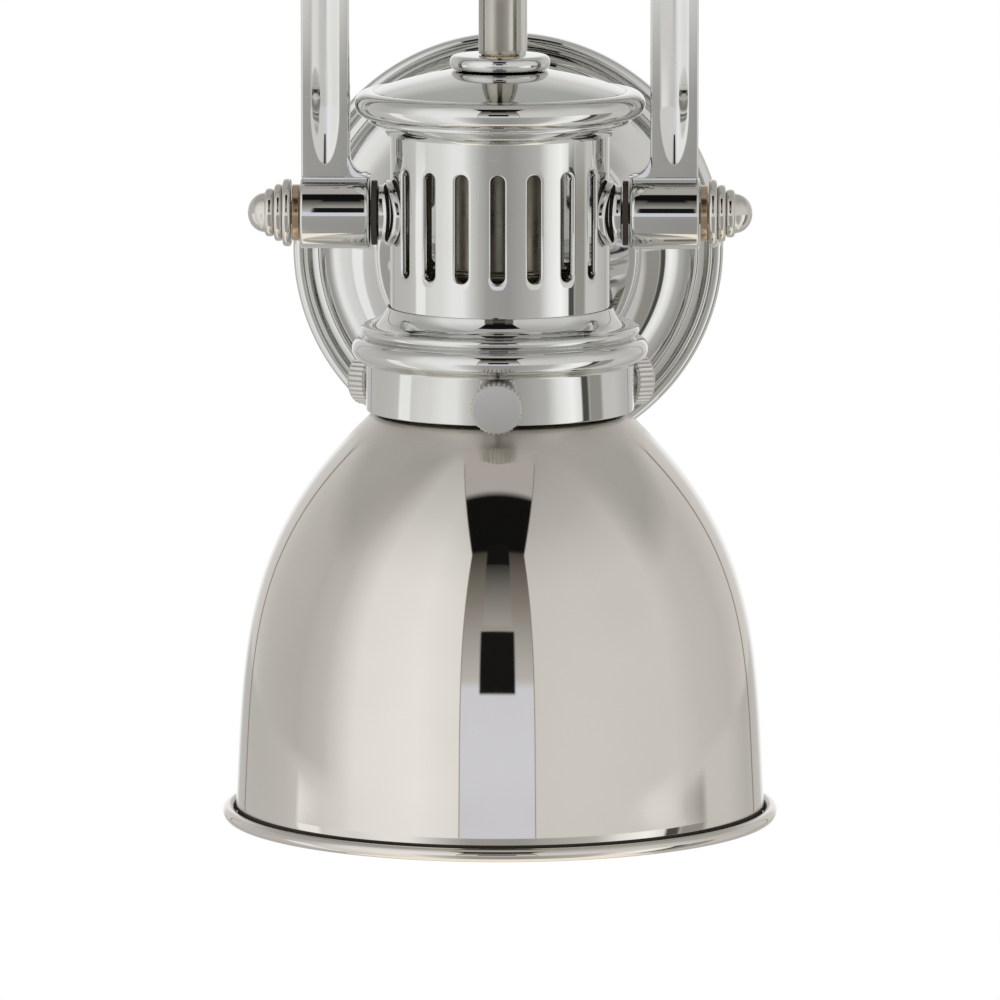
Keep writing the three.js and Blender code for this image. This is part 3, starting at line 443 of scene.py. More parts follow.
WARM_NICKEL = Metal(
    "warm_nickel", "warm_nickel", (0.65, 0.635, 0.60), (0.57, 0.545, 0.49), (0.03, 0.09), Grain.SPUN
)
SATIN_NICKEL = Metal("satin_nickel", "satin_nickel", (0.60, 0.59, 0.56), (0.52, 0.50, 0.47), (0.26, 0.38))
ZINC = Metal(
    "zinc_steel", "zinc_steel", (0.52, 0.53, 0.53), (0.40, 0.41, 0.42), (0.34, 0.55), lines=0.1, marks=0.2
)
ALUMINIUM = Metal(
    "raw_aluminium", "raw_aluminium", (0.36, 0.335, 0.27), (0.20, 0.175, 0.13), (0.2, 0.45), Grain.SPUN,
    lines=0.9, marks=0.3,
)
BRASS = Metal(
    "plain_brass", "brass", (0.72, 0.50, 0.22), (0.55, 0.36, 0.15), (0.25, 0.42), Grain.SPUN,
    lines=0.15, marks=0.1,
)
GREEN = Metal(
    "green_steel", "green_steel", (0.05, 0.22, 0.08), (0.03, 0.14, 0.05), (0.35, 0.5), lines=0.1, marks=0.2
)
# Black fibre for the washers; the shade also uses it as painted shade in the crevice over its lip
BLACK_FIBRE_AND_PAINTED_SHADE = Solid(
    "black_fibre", "black_fibre", (0.04, 0.03, 0.022), (0.008, 0.007, 0.006), (0.6, 0.8),
    scale=900.0, bump=0.25,
)
CARD = Solid("card", "card", (0.14, 0.09, 0.055), (0.09, 0.06, 0.04), (0.8, 0.95), scale=700.0, bump=0.3)
PORCELAIN = Solid(
    "porcelain", "porcelain", (0.82, 0.80, 0.74), (0.72, 0.69, 0.62), (0.2, 0.3),
    scale=150.0, bump=0.04, coat=0.5,
)
NYLON = Solid("nylon", "nylon", (0.78, 0.77, 0.73), (0.70, 0.69, 0.64), (0.45, 0.6), scale=500.0, bump=0.08)
BULB_GLASS = Solid(
    "frosted_glass", "frosted_glass", (0.88, 0.87, 0.84), (0.82, 0.80, 0.77), (0.3, 0.42),
    scale=600.0, bump=0.05, coat=0.4,
)


class Nodes:
    """Makes and links shader nodes in one tree."""

    def __init__(self, tree: bpy.types.NodeTree) -> None:
        """Takes the tree to work in."""
        self.tree = tree

    def make(self, kind: str, values: dict | None = None, **settings: object) -> bpy.types.Node:
        """Makes a node.

        Args:
            kind: the node's type without its ShaderNode prefix.
            values: input name or number to a value, or to the output socket that feeds it.
            settings: the node's own properties.

        Returns:
            The node.
        """
        node = self.tree.nodes.new("ShaderNode" + kind)
        for name, value in settings.items():
            setattr(node, name, value)
        for key, value in (values or {}).items():
            if isinstance(value, bpy.types.NodeSocket):
                self.tree.links.new(value, node.inputs[key])
            else:
                node.inputs[key].default_value = value
        return node

    def math(self, operation: str, *values: object, clamp: bool = False) -> bpy.types.NodeSocket:
        """Returns the output of a math node on one, two or three values or sockets."""
        node = self.make("Math", dict(enumerate(values)), operation=operation, use_clamp=clamp)
        return node.outputs[0]

    def product(self, first: object, *others: object) -> bpy.types.NodeSocket:
        """Returns the output of math nodes that multiply values or sockets in turn."""
        for other in others:
            first = self.math("MULTIPLY", first, other)
        return first

    def mapped(self, value: object, old: Point, new: Point = (0.0, 1.0)) -> bpy.types.NodeSocket:
        """Returns a value carried from one range to another, and held at its ends."""
        values = {0: value, 1: old[0], 2: old[1], 3: new[0], 4: new[1]}
        return self.make("MapRange", values).outputs[0]

    def noise(self, vector: object, scale: float, detail: float = 3.0, rough: float = 0.5) -> object:
        """Returns a noise of one value at a vector."""
        values = {"Vector": vector, "Scale": scale, "Detail": detail, "Roughness": rough}
        return self.make("TexNoise", values).outputs[0]

    def mix(self, share: object, first: object, second: object) -> bpy.types.NodeSocket:
        """Returns a mix of two colours."""
        node = self.make("Mix", {0: share, 6: first, 7: second}, data_type="RGBA")
        return node.outputs[2]

    def ramp(self, value: object, stops: Sequence[tuple[float, Sequence[float]]]) -> bpy.types.NodeSocket:
        """Looks a value up in a ramp of colours.

        Args:
            value: the value's socket, between 0 and 1.
            stops: the positions and colours along the ramp.

        Returns:
            The colour's socket.
        """
        node = self.make("ValToRGB", {0: value})
        elements = node.color_ramp.elements
        while len(elements) < len(stops):
            elements.new(0.5)
        for element, (position, colour) in zip(elements, stops):
            element.position = position
            element.color = (*colour, 1.0)
        return node.outputs[0]


GROUP_INPUTS = {
    "Base": ("NodeSocketColor", (0.6, 0.6, 0.6, 1.0)),
    "Second": ("NodeSocketColor", (0.5, 0.5, 0.5, 1.0)),
    "Dull Low": ("NodeSocketFloat", 0.1),
    "Dull High": ("NodeSocketFloat", 0.2),
    "Lines": ("NodeSocketFloat", 0.1),
    "Marks": ("NodeSocketFloat", 0.1),
    "Spun": ("NodeSocketFloat", 1.0),
    "Satin": ("NodeSocketFloat", 0.0),
    "Satin Height": ("NodeSocketFloat", 0.0),
}
GROUP_OUTPUTS = {"Colour": "NodeSocketColor", "Roughness": "NodeSocketFloat", "Height": "NodeSocketFloat"}
# How close the metals' turning lines, hairs, patches and smears lie, in noise cells to a metre
TURNING_SCALE = 2600.0
HAIR_SCALE = (300.0, 90.0, 2600.0)
PATCH_SCALE = 28.0
SMEAR_SCALE = 75.0
# The same for the mottling of moulded finishes
MOTTLE_SCALE = 45.0
# How far above and below its height the satin of a metal sets in, in millimetres
SATIN_FADE = 2.5
# How deep the bump of each kind of finish is, in metres
BUMP_DEPTH = {Metal: 0.00002, Solid: 0.0001}


def shader_group(name: str) -> tuple[Nodes, bpy.types.Node, bpy.types.Node]:
    """Makes an empty node group with the shared sockets.

    Args:
        name: the group's name.

    Returns:
        The group's tools, its input node and its output node.
    """
    tree = bpy.data.node_groups.new(name, "ShaderNodeTree")
    for word, (kind, value) in GROUP_INPUTS.items():
        tree.interface.new_socket(word, in_out="INPUT", socket_type=kind).default_value = value
    for word, kind in GROUP_OUTPUTS.items():
        tree.interface.new_socket(word, in_out="OUTPUT", socket_type=kind)
    entry, leave = tree.nodes.new("NodeGroupInput"), tree.nodes.new("NodeGroupOutput")
    return Nodes(tree), entry, leave


def metal_group() -> bpy.types.NodeTree:
    """Makes the group for metals: faint patches, wiped smears, turning lines, hair scratches and worn edges.

    Returns:
        The node group.
    """
    nodes, entry, leave = shader_group("worked_metal")
    given = entry.outputs
    place = nodes.make("TexCoord").outputs["Object"]
    x, y, z = nodes.make("SeparateXYZ", {0: place}).outputs
    radius = nodes.math("SQRT", nodes.math("ADD", nodes.product(x, x), nodes.product(y, y)))
    across, along = nodes.product(radius, TURNING_SCALE), nodes.product(z, TURNING_SCALE)
    rings = nodes.make("CombineXYZ", {0: across, 1: along})
    turning = nodes.noise(rings.outputs[0], 1.0, 2.0)
    hair = nodes.noise(nodes.make("Mapping", {0: place, 3: HAIR_SCALE}).outputs[0], 1.0, 4.0, 0.7)
    scratch = nodes.mapped(hair, (0.66, 0.74))
    patches = nodes.mapped(nodes.noise(place, PATCH_SCALE, 4.0), (0.35, 0.7))
    smears = nodes.mapped(nodes.noise(place, SMEAR_SCALE, 6.0, 0.65), (0.3, 0.75))
    worn = nodes.mapped(nodes.make("NewGeometry").outputs["Pointiness"], (0.51, 0.58))
    colour = nodes.mix(nodes.product(patches, 0.7), given["Base"], given["Second"])
    colour = nodes.mix(nodes.product(worn, 0.35), colour, given["Base"])
    spread = nodes.math("SUBTRACT", given["Dull High"], given["Dull Low"])
    dull = nodes.math("MULTIPLY_ADD", smears, spread, given["Dull Low"])
    dull = nodes.math("MULTIPLY_ADD", nodes.product(scratch, given["Marks"]), 0.6, dull)
    dull = nodes.math("MULTIPLY_ADD", worn, 0.015, dull)
    above = nodes.math("DIVIDE", nodes.math("SUBTRACT", z, given["Satin Height"]), SATIN_FADE * MM)
    dull = nodes.math("MULTIPLY_ADD", nodes.mapped(above, (-1.0, 1.0)), given["Satin"], dull)
    lines = nodes.product(turning, given["Spun"], given["Lines"])
    marks = nodes.product(scratch, -1.0, given["Marks"])
    height = nodes.math("ADD", lines, marks)
    for word, socket in (("Colour", colour), ("Roughness", dull), ("Height", height)):
        nodes.tree.links.new(socket, leave.inputs[word])
    return nodes.tree


def moulded_group() -> bpy.types.NodeTree:
    """Makes the group for moulded and fired finishes: grain, mottling, and grime with painted shade in the
    creases.

    Returns:
        The node group.
    """
    nodes, entry, leave = shader_group("moulded_grain")
    given = entry.outputs
    place = nodes.make("TexCoord").outputs["Object"]
    grain = nodes.noise(place, given["Lines"], 4.0, 0.6)
    mottle = nodes.mapped(nodes.noise(place, MOTTLE_SCALE), (0.35, 0.7))
    # Creases, where the surface curves in, are darkened: grime and painted shade
    crease_grime_and_shade = nodes.mapped(nodes.make("NewGeometry").outputs["Pointiness"], (0.50, 0.44))
    share = nodes.math("ADD", nodes.product(mottle, 0.6), nodes.product(crease_grime_and_shade, 0.5), clamp=True)
    colour = nodes.mix(share, given["Base"], given["Second"])
    spread = nodes.math("SUBTRACT", given["Dull High"], given["Dull Low"])
    dull = nodes.math("MULTIPLY_ADD", grain, spread, given["Dull Low"])
    for word, socket in (("Colour", colour), ("Roughness", dull), ("Height", grain)):
        nodes.tree.links.new(socket, leave.inputs[word])
    return nodes.tree


class Paintbox:
    """Makes each finish's material once and hands it out."""

    def __init__(self) -> None:
        """Makes the two shared groups."""
        self._groups = {Metal: metal_group(), Solid: moulded_group()}
        self._made: dict[str, bpy.types.Material] = {}

    def of(self, finish: Metal | Solid) -> bpy.types.Material:
        """Returns the material of a finish.

        Args:
            finish: the metal or other finish.

        Returns:
            Its material, made at the first call.
        """
        if finish.name not in self._made:
            self._made[finish.name] = self._make(finish)
        return self._made[finish.name]

    def _make(self, finish: Metal | Solid) -> bpy.types.Material:
        """Makes a material with the finish's group feeding its own shader and bump.

        Args:
            finish: the metal or other finish.

        Returns:
            The new material.
        """
        material = bpy.data.materials.new(finish.name)
        material.use_nodes = True
        nodes = Nodes(material.node_tree)
        shader = material.node_tree.nodes["Principled BSDF"]
        group = nodes.make("Group")
        group.node_tree = self._groups[type(finish)]
        metal = isinstance(finish, Metal)
        values = {
            "Base": (*finish.base, 1.0),
            "Second": (*(finish.tint if metal else finish.dark), 1.0),
            "Dull Low": finish.dull[0],
            "Dull High": finish.dull[1],
            "Lines": finish.lines if metal else finish.scale,
            "Marks": finish.marks if metal else 0.0,
            "Spun": finish.grain.value if metal else 0.0,
        }
        for name, value in values.items():
            group.inputs[name].default_value = value
        shader.inputs["Metallic"].default_value = 1.0 if metal else 0.0
        if metal:
            group.inputs["Satin"].default_value = finish.satin
            group.inputs["Satin Height"].default_value = finish.satin_height * MM
        else:
            shader.inputs["Coat Weight"].default_value = finish.coat
        height = {"Height": group.outputs["Height"], "Distance": BUMP_DEPTH[type(finish)]}
        bump = nodes.make("Bump", {**height, "Strength": 1.0 if metal else finish.bump})
        links = material.node_tree.links
        links.new(group.outputs["Colour"], shader.inputs["Base Color"])
        links.new(group.outputs["Roughness"], shader.inputs["Roughness"])
        links.new(bump.outputs[0], shader.inputs["Normal"])
        return material


PAINTS = Paintbox()


def piece(
    name: str,
    form: Form,
    finish: Metal | Solid,
    body: str,
    place: Matrix,
    nodes: Sequence[str] = (),
    crease: float = CREASE_DEGREES,
) -> bpy.types.Object:
    """Makes a form into an object that rides on a body.

    Args:
        name: the piece's name.
        form: its form in millimetres.
        finish: its finish.
        body: the body that it rides on.
        place: where it stands in the frame.
        nodes: the solids that it stands for.
        crease: edges bent by more than this many degrees stay sharp.

    Returns:
        The object.
    """
    mesh = bpy.data.meshes.new(name)
    mesh.from_pydata([v * MM for v in form.vertices], [], form.faces)
    work = bmesh.new()
    work.from_mesh(mesh)
    bmesh.ops.remove_doubles(work, verts=work.verts, dist=MERGE_DISTANCE)
    bmesh.ops.dissolve_degenerate(work, edges=work.edges, dist=THINNEST_EDGE)
    bmesh.ops.recalc_face_normals(work, faces=work.faces)
    work.to_mesh(mesh)
    work.free()
    mesh.shade_smooth()
    mesh.set_sharp_from_angle(angle=math.radians(crease))
    mesh.materials.append(PAINTS.of(finish))
    made = bpy.data.objects.new(name, mesh)
    bpy.context.scene.collection.objects.link(made)
    made.matrix_world = place
    if nodes:
        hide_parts(*nodes)
    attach(made, body)
    LOG.info("%s: %d faces on %s", name, len(mesh.polygons), body)
    return made


def finish_nodes(finish: Metal | Solid, *names: str) -> None:
    """Gives solids that stay in view a finish.

    Args:
        finish: the metal or other finish.
        names: the solids' nodes.
    """
    for name in names:
        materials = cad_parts[name].data.materials
        materials.clear()
        materials.append(PAINTS.of(finish))
        LOG.info("%s: kept, in %s", name, finish.name)


# The light's assemblies


@dataclass
class WallMount:
    """The plate on the wall, the hub on it and the bar and screws behind it."""

    rim: float = 61.1
    bead: float = 2.3
    bead_height: float = 3.6
    groove: Point = (55.7, 3.9)
    step: Point = (53.0, 8.4)
    cove_pull: Point = (47.15, 6.6)
    cove_end: Point = (38.0, 18.4)
    boss: float = 36.7
    face: float = 20.5
    wall: float = 1.6
    hub_foot: Point = (16.0, 1.4)
    hub_shoulder: Point = (14.9, 2.2)
    hub_waist: Point = (9.0, 2.4)
    hub_bead: tuple[float, float] = (8.2, 1.3)
    hub_socket: float = 3.0
    stud: tuple[float, float, float] = (2.0, 0.22, 0.7)
    stud_back: float = -1.5
    stud_reach: float = 5.9
    stud_offset: float = 30.0
    nut_skirt: Point = (4.6, 3.2)
    nut_dome: Point = (4.1, 3.6)
    nut_height: float = 8.0
    nut_bore: float = 2.3
    nut_teeth: int = 36
    nut_tooth: float = 0.14
    nut_knurled: Point = (4.3, 4.7)
    screw: tuple[float, float, float] = (1.9, 0.25, 0.8)
    screw_tip: float = -9.0
    screw_head: Point = (3.8, 2.3)
    screw_offset: float = 42.6
    bar_thickness: float = 1.8

    def build(self) -> None:
        """Builds and dresses the mount."""
        piece("plate_visual", turned(self._plate(), WIDE_SIDES), SPUN_NICKEL, "base", WALL, ["wall_plate"])
        piece("hub_visual", turned(self._hub()), SPUN_NICKEL, "base", WALL, ["arm_hub"])
        for end in End:
            self._fasteners(end)
        finish_nodes(ZINC, "mounting_bar")
        finish_nodes(BRASS, "arm_nipple", "arm_locknut")
        finish_nodes(GREEN, "ground_screw")

    def _plate(self) -> list[Point]:
        """Draws the plate: its front from the wall inwards, and its back the same way out.

        Returns:
            The outline.
        """
        rim, face, wall = self.rim, self.face, self.wall
        pen = Pen(rim - wall, 0.0).to(rim, 0.0, 0.3).to(rim, self.bead_height)
        pen.arc((rim - self.bead, self.bead_height, self.bead), 0, 165, 14)
        pen.to(*self.groove, 0.5).to(self.step[0] + 0.9, self.groove[1] + 0.5, 0.5)
        pen.to(self.step[0] + 0.4, self.step[1] - 0.5, 0.6).to(*self.step)
        pen.bend(self.cove_pull, self.cove_end, steps=24)
        pen.to(self.boss + 0.2, self.cove_end[1] + 0.2, 0.4).to(self.boss, face - 0.1, 0.9)
        pen.to(self.boss - 2.5, face).to(NIPPLE_SEAT, face).to(NIPPLE_SEAT, face - wall)
        pen.to(self.boss - wall, face - wall, 1.0).to(self.boss - wall, self.cove_end[1] - wall, 0.5)
        inner = [(r - wall, z - wall * 0.9) for r, z in (self.cove_end, self.cove_pull, self.step)]
        pen.to(*inner[0]).bend(*inner[1:]).to(self.groove[0] - wall, self.groove[1] - wall * 0.8, 0.5)
        return pen.to(rim - wall, self.bead_height - wall, 0.8).points()

    def _hub(self) -> list[Point]:
        """Draws the hub: a stepped foot, a waist and a bead round the tube.

        Returns:
            The outline.
        """
        base = self.face + SEAT
        (foot, low), (shoulder, middle), (waist, high) = self.hub_foot, self.hub_shoulder, self.hub_waist
        rise, size = self.hub_bead
        pen = Pen(NIPPLE_SEAT, base).to(foot, base, 0.2).to(foot, base + low, 0.6)
        pen.to(shoulder, base + middle, 0.3)
        pen.bend((waist, base + high), (waist, base + rise - size), steps=14)
        pen.arc((waist, base + rise, size), -90, 90).to(TUBE_SEAT, base + rise + size)
        pen.to(TUBE_SEAT, base + self.hub_socket)
        return pen.to(NIPPLE_SEAT, base + self.hub_socket).points()

    def _fasteners(self, end: End) -> None:
        """Builds the stud, its cap nut and the box screw at one end of the bar.

        Args:
            end: the bar's end.
        """
        word = end.word
        place = WALL @ shifted(0, end.value * self.stud_offset, 0)
        top = self.face + self.stud_reach
        outline = [(0.0, self.stud_back), *threads(*self.stud, self.stud_back, top), (0.0, top)]
        stud = turned(outline, SMALL_SIDES)
        piece("stud_visual_" + word, stud, ZINC, "base", place, ["plate_stud_" + word])
        nut = turned(self._nut(), self.nut_teeth * 6, self._knurl)
        piece("plate_nut_visual_" + word, nut, POLISHED, "base", place, ["plate_nut_" + word])
        place = WALL @ shifted(0, end.value * self.screw_offset, 0)
        screw = turned(self._box_screw(), SMALL_SIDES)
        piece("box_screw_visual_" + word, screw, ZINC, "base", place, ["box_screw_" + word])

    def _nut(self) -> list[Point]:
        """Draws the cap nut: a knurled skirt, a dome and a blind bore.

        Returns:
            The outline.
        """
        base = self.face + SEAT
        (skirt, low), (dome, high) = self.nut_skirt, self.nut_dome
        pen = Pen(self.nut_bore, base).to(skirt, base, 0.2).to(skirt, base + low, 0.3)
        pen.to(dome, base + high, 0.3)
        pen.bend((dome, base + self.nut_height), (0.0, base + self.nut_height))
        return pen.to(0.0, base + self.stud_reach).to(self.nut_bore, base + self.stud_reach).points()

    def _knurl(self, radius: float, angle: float) -> float:
        """Returns how far the nut's side is cut in at a radius and an angle."""
        low, high = self.nut_knurled
        return -self.nut_tooth * (1 - math.cos(angle * self.nut_teeth)) if low < radius < high else 0.0

    def _box_screw(self) -> list[Point]:
        """Draws the box screw: a thread under a round head.

        Returns:
            The outline.
        """
        base, shank = self.bar_thickness + SEAT, self.screw[0]
        head, height = self.screw_head
        dome = Pen(shank, base - SEAT).to(shank, base).to(head, base, 0.2)
        dome.bend((head, base + height), (0.0, base + height))
        return [(0.0, self.screw_tip), *threads(*self.screw, self.screw_tip, base - 0.4), *dome.points()]


@dataclass
class Gooseneck:
    """The bent tube, and the ferrule that it ends in."""

    tube: float = 6.35
    bore: float = 5.35
    start: float = 24.1
    elbow: float = 22.0
    straight: float = 12.0
    socket: float = 6.7
    ferrule: tuple[float, float, float] = (7.8, 9.2, 5.4)

    def build(self) -> None:
        """Builds and dresses the arm."""
        piece("arm_visual", self._tube(), POLISHED, "base", Matrix.Identity(4), ["gooseneck_arm"])
        piece("ferrule_visual", turned(self._ferrule()), SPUN_NICKEL, "base", HEAD, ["crown_ferrule"])
        finish_nodes(NYLON, "crown_bushing")

    def _ferrule(self) -> list[Point]:
        """Draws the ferrule, one round bead on the crown.

        Returns:
            The outline.
        """
        flat, crest, height = self.ferrule
        low = CROWN_TOP + SEAT
        pen = Pen(TUBE_SEAT, low).to(flat, low, 0.3).bend((crest, low), (crest, low + height / 2), steps=8)
        pen.bend((crest, low + height), (flat, low + height), steps=8)
        return pen.to(TUBE_SEAT, low + height).points()

    def _tube(self) -> Form:
        """Bends the tube with its open bore, in the wall's own space.

        Returns:
            The closed form.
        """
        bend_z = PIVOT_RISE + CROWN_TOP + self.straight
        half = (HEAD_REACH - RISER_REACH) / 2
        riser, drop = -RISER_REACH, -HEAD_REACH
        end = PIVOT_RISE + CROWN_TOP - self.socket
        stations = run(
            ("line", (-self.start, 0.0), (riser + self.elbow, 0.0)),
            ("bend", (riser + self.elbow, self.elbow), self.elbow, 270, 180),
            ("line", (riser, self.elbow), (riser, bend_z)),
            ("bend", ((riser + drop) / 2, bend_z), half, 0, 180),
            ("line", (drop, bend_z), (drop, end)),
        )
        across = Vector((1, 0, 0))
        form = Form()
        for radius in (self.tube, self.bore):
            section = circle(radius, SMALL_SIDES)
            rings = [[p + d.cross(across) * u + across * v for u, v in section] for p, d in stations]
            form.loft(rings, caps=False)
        count, size = len(stations), SMALL_SIDES
        for ring in (0, count - 1):
            for j in range(size):
                k = (j + 1) % size
                out, inner = ring * size, (count + ring) * size
                form.faces.append((out + j, out + k, inner + k, inner + j))
        return form


@dataclass
class Yoke:
    """The crown and its two fluted arms, each ending in a barrel on the pivot."""

    crown: float = 15.0
    crown_edge: float = 1.3
    crown_bore: float = 3.6
    crown_socket: float = 7.0
    centre: float = 47.55
    half_width: float = 6.55
    half_depth: float = 4.8
    edge: float = 0.55
    bend: float = 24.0
    height: float = 102.7
    foot: float = 10.0
    fillet: float = 5.65
    fillet_root: float = 1.2
    fillet_inset: float = 0.004
    lip: float = 0.35
    tongue: float = 9.2
    flute_half: float = 4.0
    flute_least: float = 0.002
    flute_land: float = 0.3
    flute_depth: float = 1.7
    flute_round: float = 1.6
    flute_end: float = 13.8
    flute_lead: float = 0.2
    flute_taper: float = 16.0
    barrel: tuple[float, float, float] = (35.35, 54.4, 9.75)
    barrel_bore: float = 3.4
    barrel_edges: Point = (1.5, 0.75)
    web_low: float = 8.2
    web_lap: float = 0.8
    web_inset: float = 0.9
    web_half_depth: float = 4.35
    web_edge: float = 0.1
    screw_shank: float = 1.3
    screw_sunk: float = 4.0
    screw_head: Point = (2.0, 1.4)
    screw_offset: float = 11.6
    crease: float = 38.0

    def build(self) -> None:
        """Builds and dresses the crown, its screws and both arms."""
        piece("crown_visual", turned(self._crown()), POLISHED, "base", HEAD, ["yoke_crown"])
        for side in Side:
            arm = Form().add(self._limb()).add(self._foot_fillet()).add(self._barrel()).add(self._web())
            whole = Form().add(arm, Matrix.Scale(side.value, 4, (1, 0, 0)))
            name = "yoke_visual_" + side.word
            piece(name, whole, POLISHED, "base", HEAD, ["yoke_arm_" + side.word], self.crease)
            self._screw(side)

    def _crown(self) -> list[Point]:
        """Draws the crown block, open above for the tube.

        Returns:
            The outline.
        """
        low, top, floor = CROWN_RISE, CROWN_TOP, CROWN_TOP - self.crown_socket
        pen = Pen(self.crown_bore, low).to(self.crown, low, self.crown_edge)
        pen.to(self.crown, top, self.crown_edge).to(TUBE_SEAT, top, 0.3)
        return pen.to(TUBE_SEAT, floor).to(self.crown_bore, floor).points()

    def _limb(self) -> Form:
        """Lofts the right limb from its foot to its end in the crown, with a flute front and back.

        Returns:
            The closed form.
        """
        bend_x, bend_z = self.centre - self.bend, self.height - self.bend
        right, up, across = Vector((1, 0, 0)), Vector((0, 0, 1)), Vector((0, 1, 0))
        stations = [
            (Vector((self.centre, 0, self.foot + rise)), right, 0.0, inset)
            for inset, rise in reversed(quarter(self.edge, 4))
        ]
        flute_steps, bend_steps = 20, 40
        for i in range(flute_steps + 1):
            share = (i / flute_steps) ** 2
            z = self.flute_end - self.flute_lead + (self.flute_taper + self.flute_lead) * share
            stations.append((Vector((self.centre, 0, z)), right, self._opening(z), 0.0))
        stations.append((Vector((self.centre, 0, bend_z)), right, 1.0, 0.0))
        for i in range(1, bend_steps + 1):
            angle = math.radians(90 * i / bend_steps)
            out = Vector((math.cos(angle), 0, math.sin(angle)))
            stations.append((Vector((bend_x, 0, bend_z)) + out * self.bend, out, 1.0, 0.0))
        stations.append((Vector((self.tongue, 0, self.height)), up, 1.0, 0.0))
        rings = [
            [p + out * u + across * v for u, v in self._section(opening, inset)]
            for p, out, opening, inset in stations
        ]
        return Form().loft(rings)

    def _opening(self, height: float) -> float:
        """Returns how far the flute has opened at a height, from 0 at its end to 1 where it is full."""
        past = min(max((height - self.flute_end) / self.flute_taper, 0.0), 1.0)
        return math.sqrt(1 - (1 - past) ** 2)

    def _section(self, opening: float, inset: float) -> list[Point]:
        """Draws the limb's section.

        Args:
            opening: the flute's width as a share of its full width.
            inset: how far the section is drawn in, for the foot's rounded end.

        Returns:
            The points round the section, as outward and across.
        """
        half_width, half_depth = self.half_width - inset, self.half_depth - inset
        width, steps = max(self.flute_half * opening, self.flute_least), 24
        sink = self.flute_depth * opening**2
        side = [(half_width - a, half_depth - b) for a, b in quarter(self.edge, 4)]
        shares = [math.cos(math.pi * i / steps) for i in range(steps + 1)]
        flute = [(width * s, half_depth - sink * (1 - s * s) ** self.flute_round) for s in shares]
        land = width + self.flute_land
        other_side = [(-u, v) for u, v in reversed(side)]
        front = [*side, (land, half_depth), *flute, (-land, half_depth), *other_side]
        return front + [(-u, -v) for u, v in front]

    def _foot_fillet(self) -> Form:
        """Makes the fillet by which the foot runs in over the barrel.

        Returns:
            The closed form.
        """
        inner = self.centre - self.half_width
        root, tip = inner + self.fillet_root, inner - self.fillet
        middle = self.foot + self.lip + self.fillet
        outline = Pen(root, self.foot).to(root, middle).to(inner, middle)
        outline.arc((tip, middle, self.fillet), 0, -90, 14).to(tip, self.foot)
        return self._rounded_slab(outline.points(), self.half_depth - self.fillet_inset, self.lip / 2)

    def _rounded_slab(self, outline: Sequence[Point], half_depth: float, edge: float) -> Form:
        """Makes an outline in X and Z solid along Y, with rounded edges.

        Args:
            outline: points of X and Z round the shape.
            half_depth: half of its depth along Y.
            edge: the radius of its edges.

        Returns:
            The closed form.
        """
        count = len(outline)
        normals = []
        for i, here in enumerate(outline):
            before, after = Vector(outline[i - 1]), Vector(outline[(i + 1) % count])
            one, two = (Vector(here) - before).normalized(), (after - Vector(here)).normalized()
            turn_in = Vector((-one.y - two.y, one.x + two.x))
            normals.append(turn_in / 2 / max(turn_in.length_squared / 4, MITRE_LIMIT))
        edges = quarter(edge, 4)
        rings = []
        for sign, order in ((-1, edges), (1, edges[::-1])):
            for drop, inset in order:
                y = sign * (half_depth - drop)
                places = [(x + n.x * inset, z + n.y * inset) for (x, z), n in zip(outline, normals)]
                rings.append([Vector((x, y, z)) for x, z in places])
        return Form().loft(rings)

    def _barrel(self) -> Form:
        """Turns the round barrel along X, with its bore.

        Returns:
            The closed form.
        """
        start, end, radius = self.barrel
        near, far = self.barrel_edges
        pen = Pen(self.barrel_bore, start).to(radius, start, near).to(radius, end, far)
        pen.to(self.barrel_bore, end)
        return Form().add(turned(pen.points()), Matrix.Rotation(math.radians(90), 4, "Y"))

    def _web(self) -> Form:
        """Makes the short web that joins the foot to the barrel.

        Returns:
            The closed form.
        """
        start, end = self.barrel[0] + self.web_inset, self.barrel[1] - self.web_inset
        low, high = self.web_low, self.foot + self.web_lap
        outline = [(end, low), (end, high), (start, high), (start, low)]
        return self._rounded_slab(outline, self.web_half_depth, self.web_edge)

    def _screw(self, side: Side) -> None:
        """Builds the screw that holds one arm's tongue in the crown.

        Args:
            side: the arm's side.
        """
        seat, tail = CROWN_TOP + SEAT, self.height + self.half_width - self.screw_sunk
        shank, (head, dome) = self.screw_shank, self.screw_head
        pen = Pen(0.0, tail).to(shank, tail, 0.2).to(shank, seat).to(head, seat, 0.1)
        pen.bend((head, seat + dome), (0.0, seat + dome), steps=10)
        place = HEAD @ shifted(side.value * self.screw_offset, 0, 0)
        screw = turned(pen.points(), SMALL_SIDES)
        name = "crown_screw_visual_" + side.word
        piece(name, screw, SATIN_NICKEL, "base", place, ["crown_screw_" + side.word])


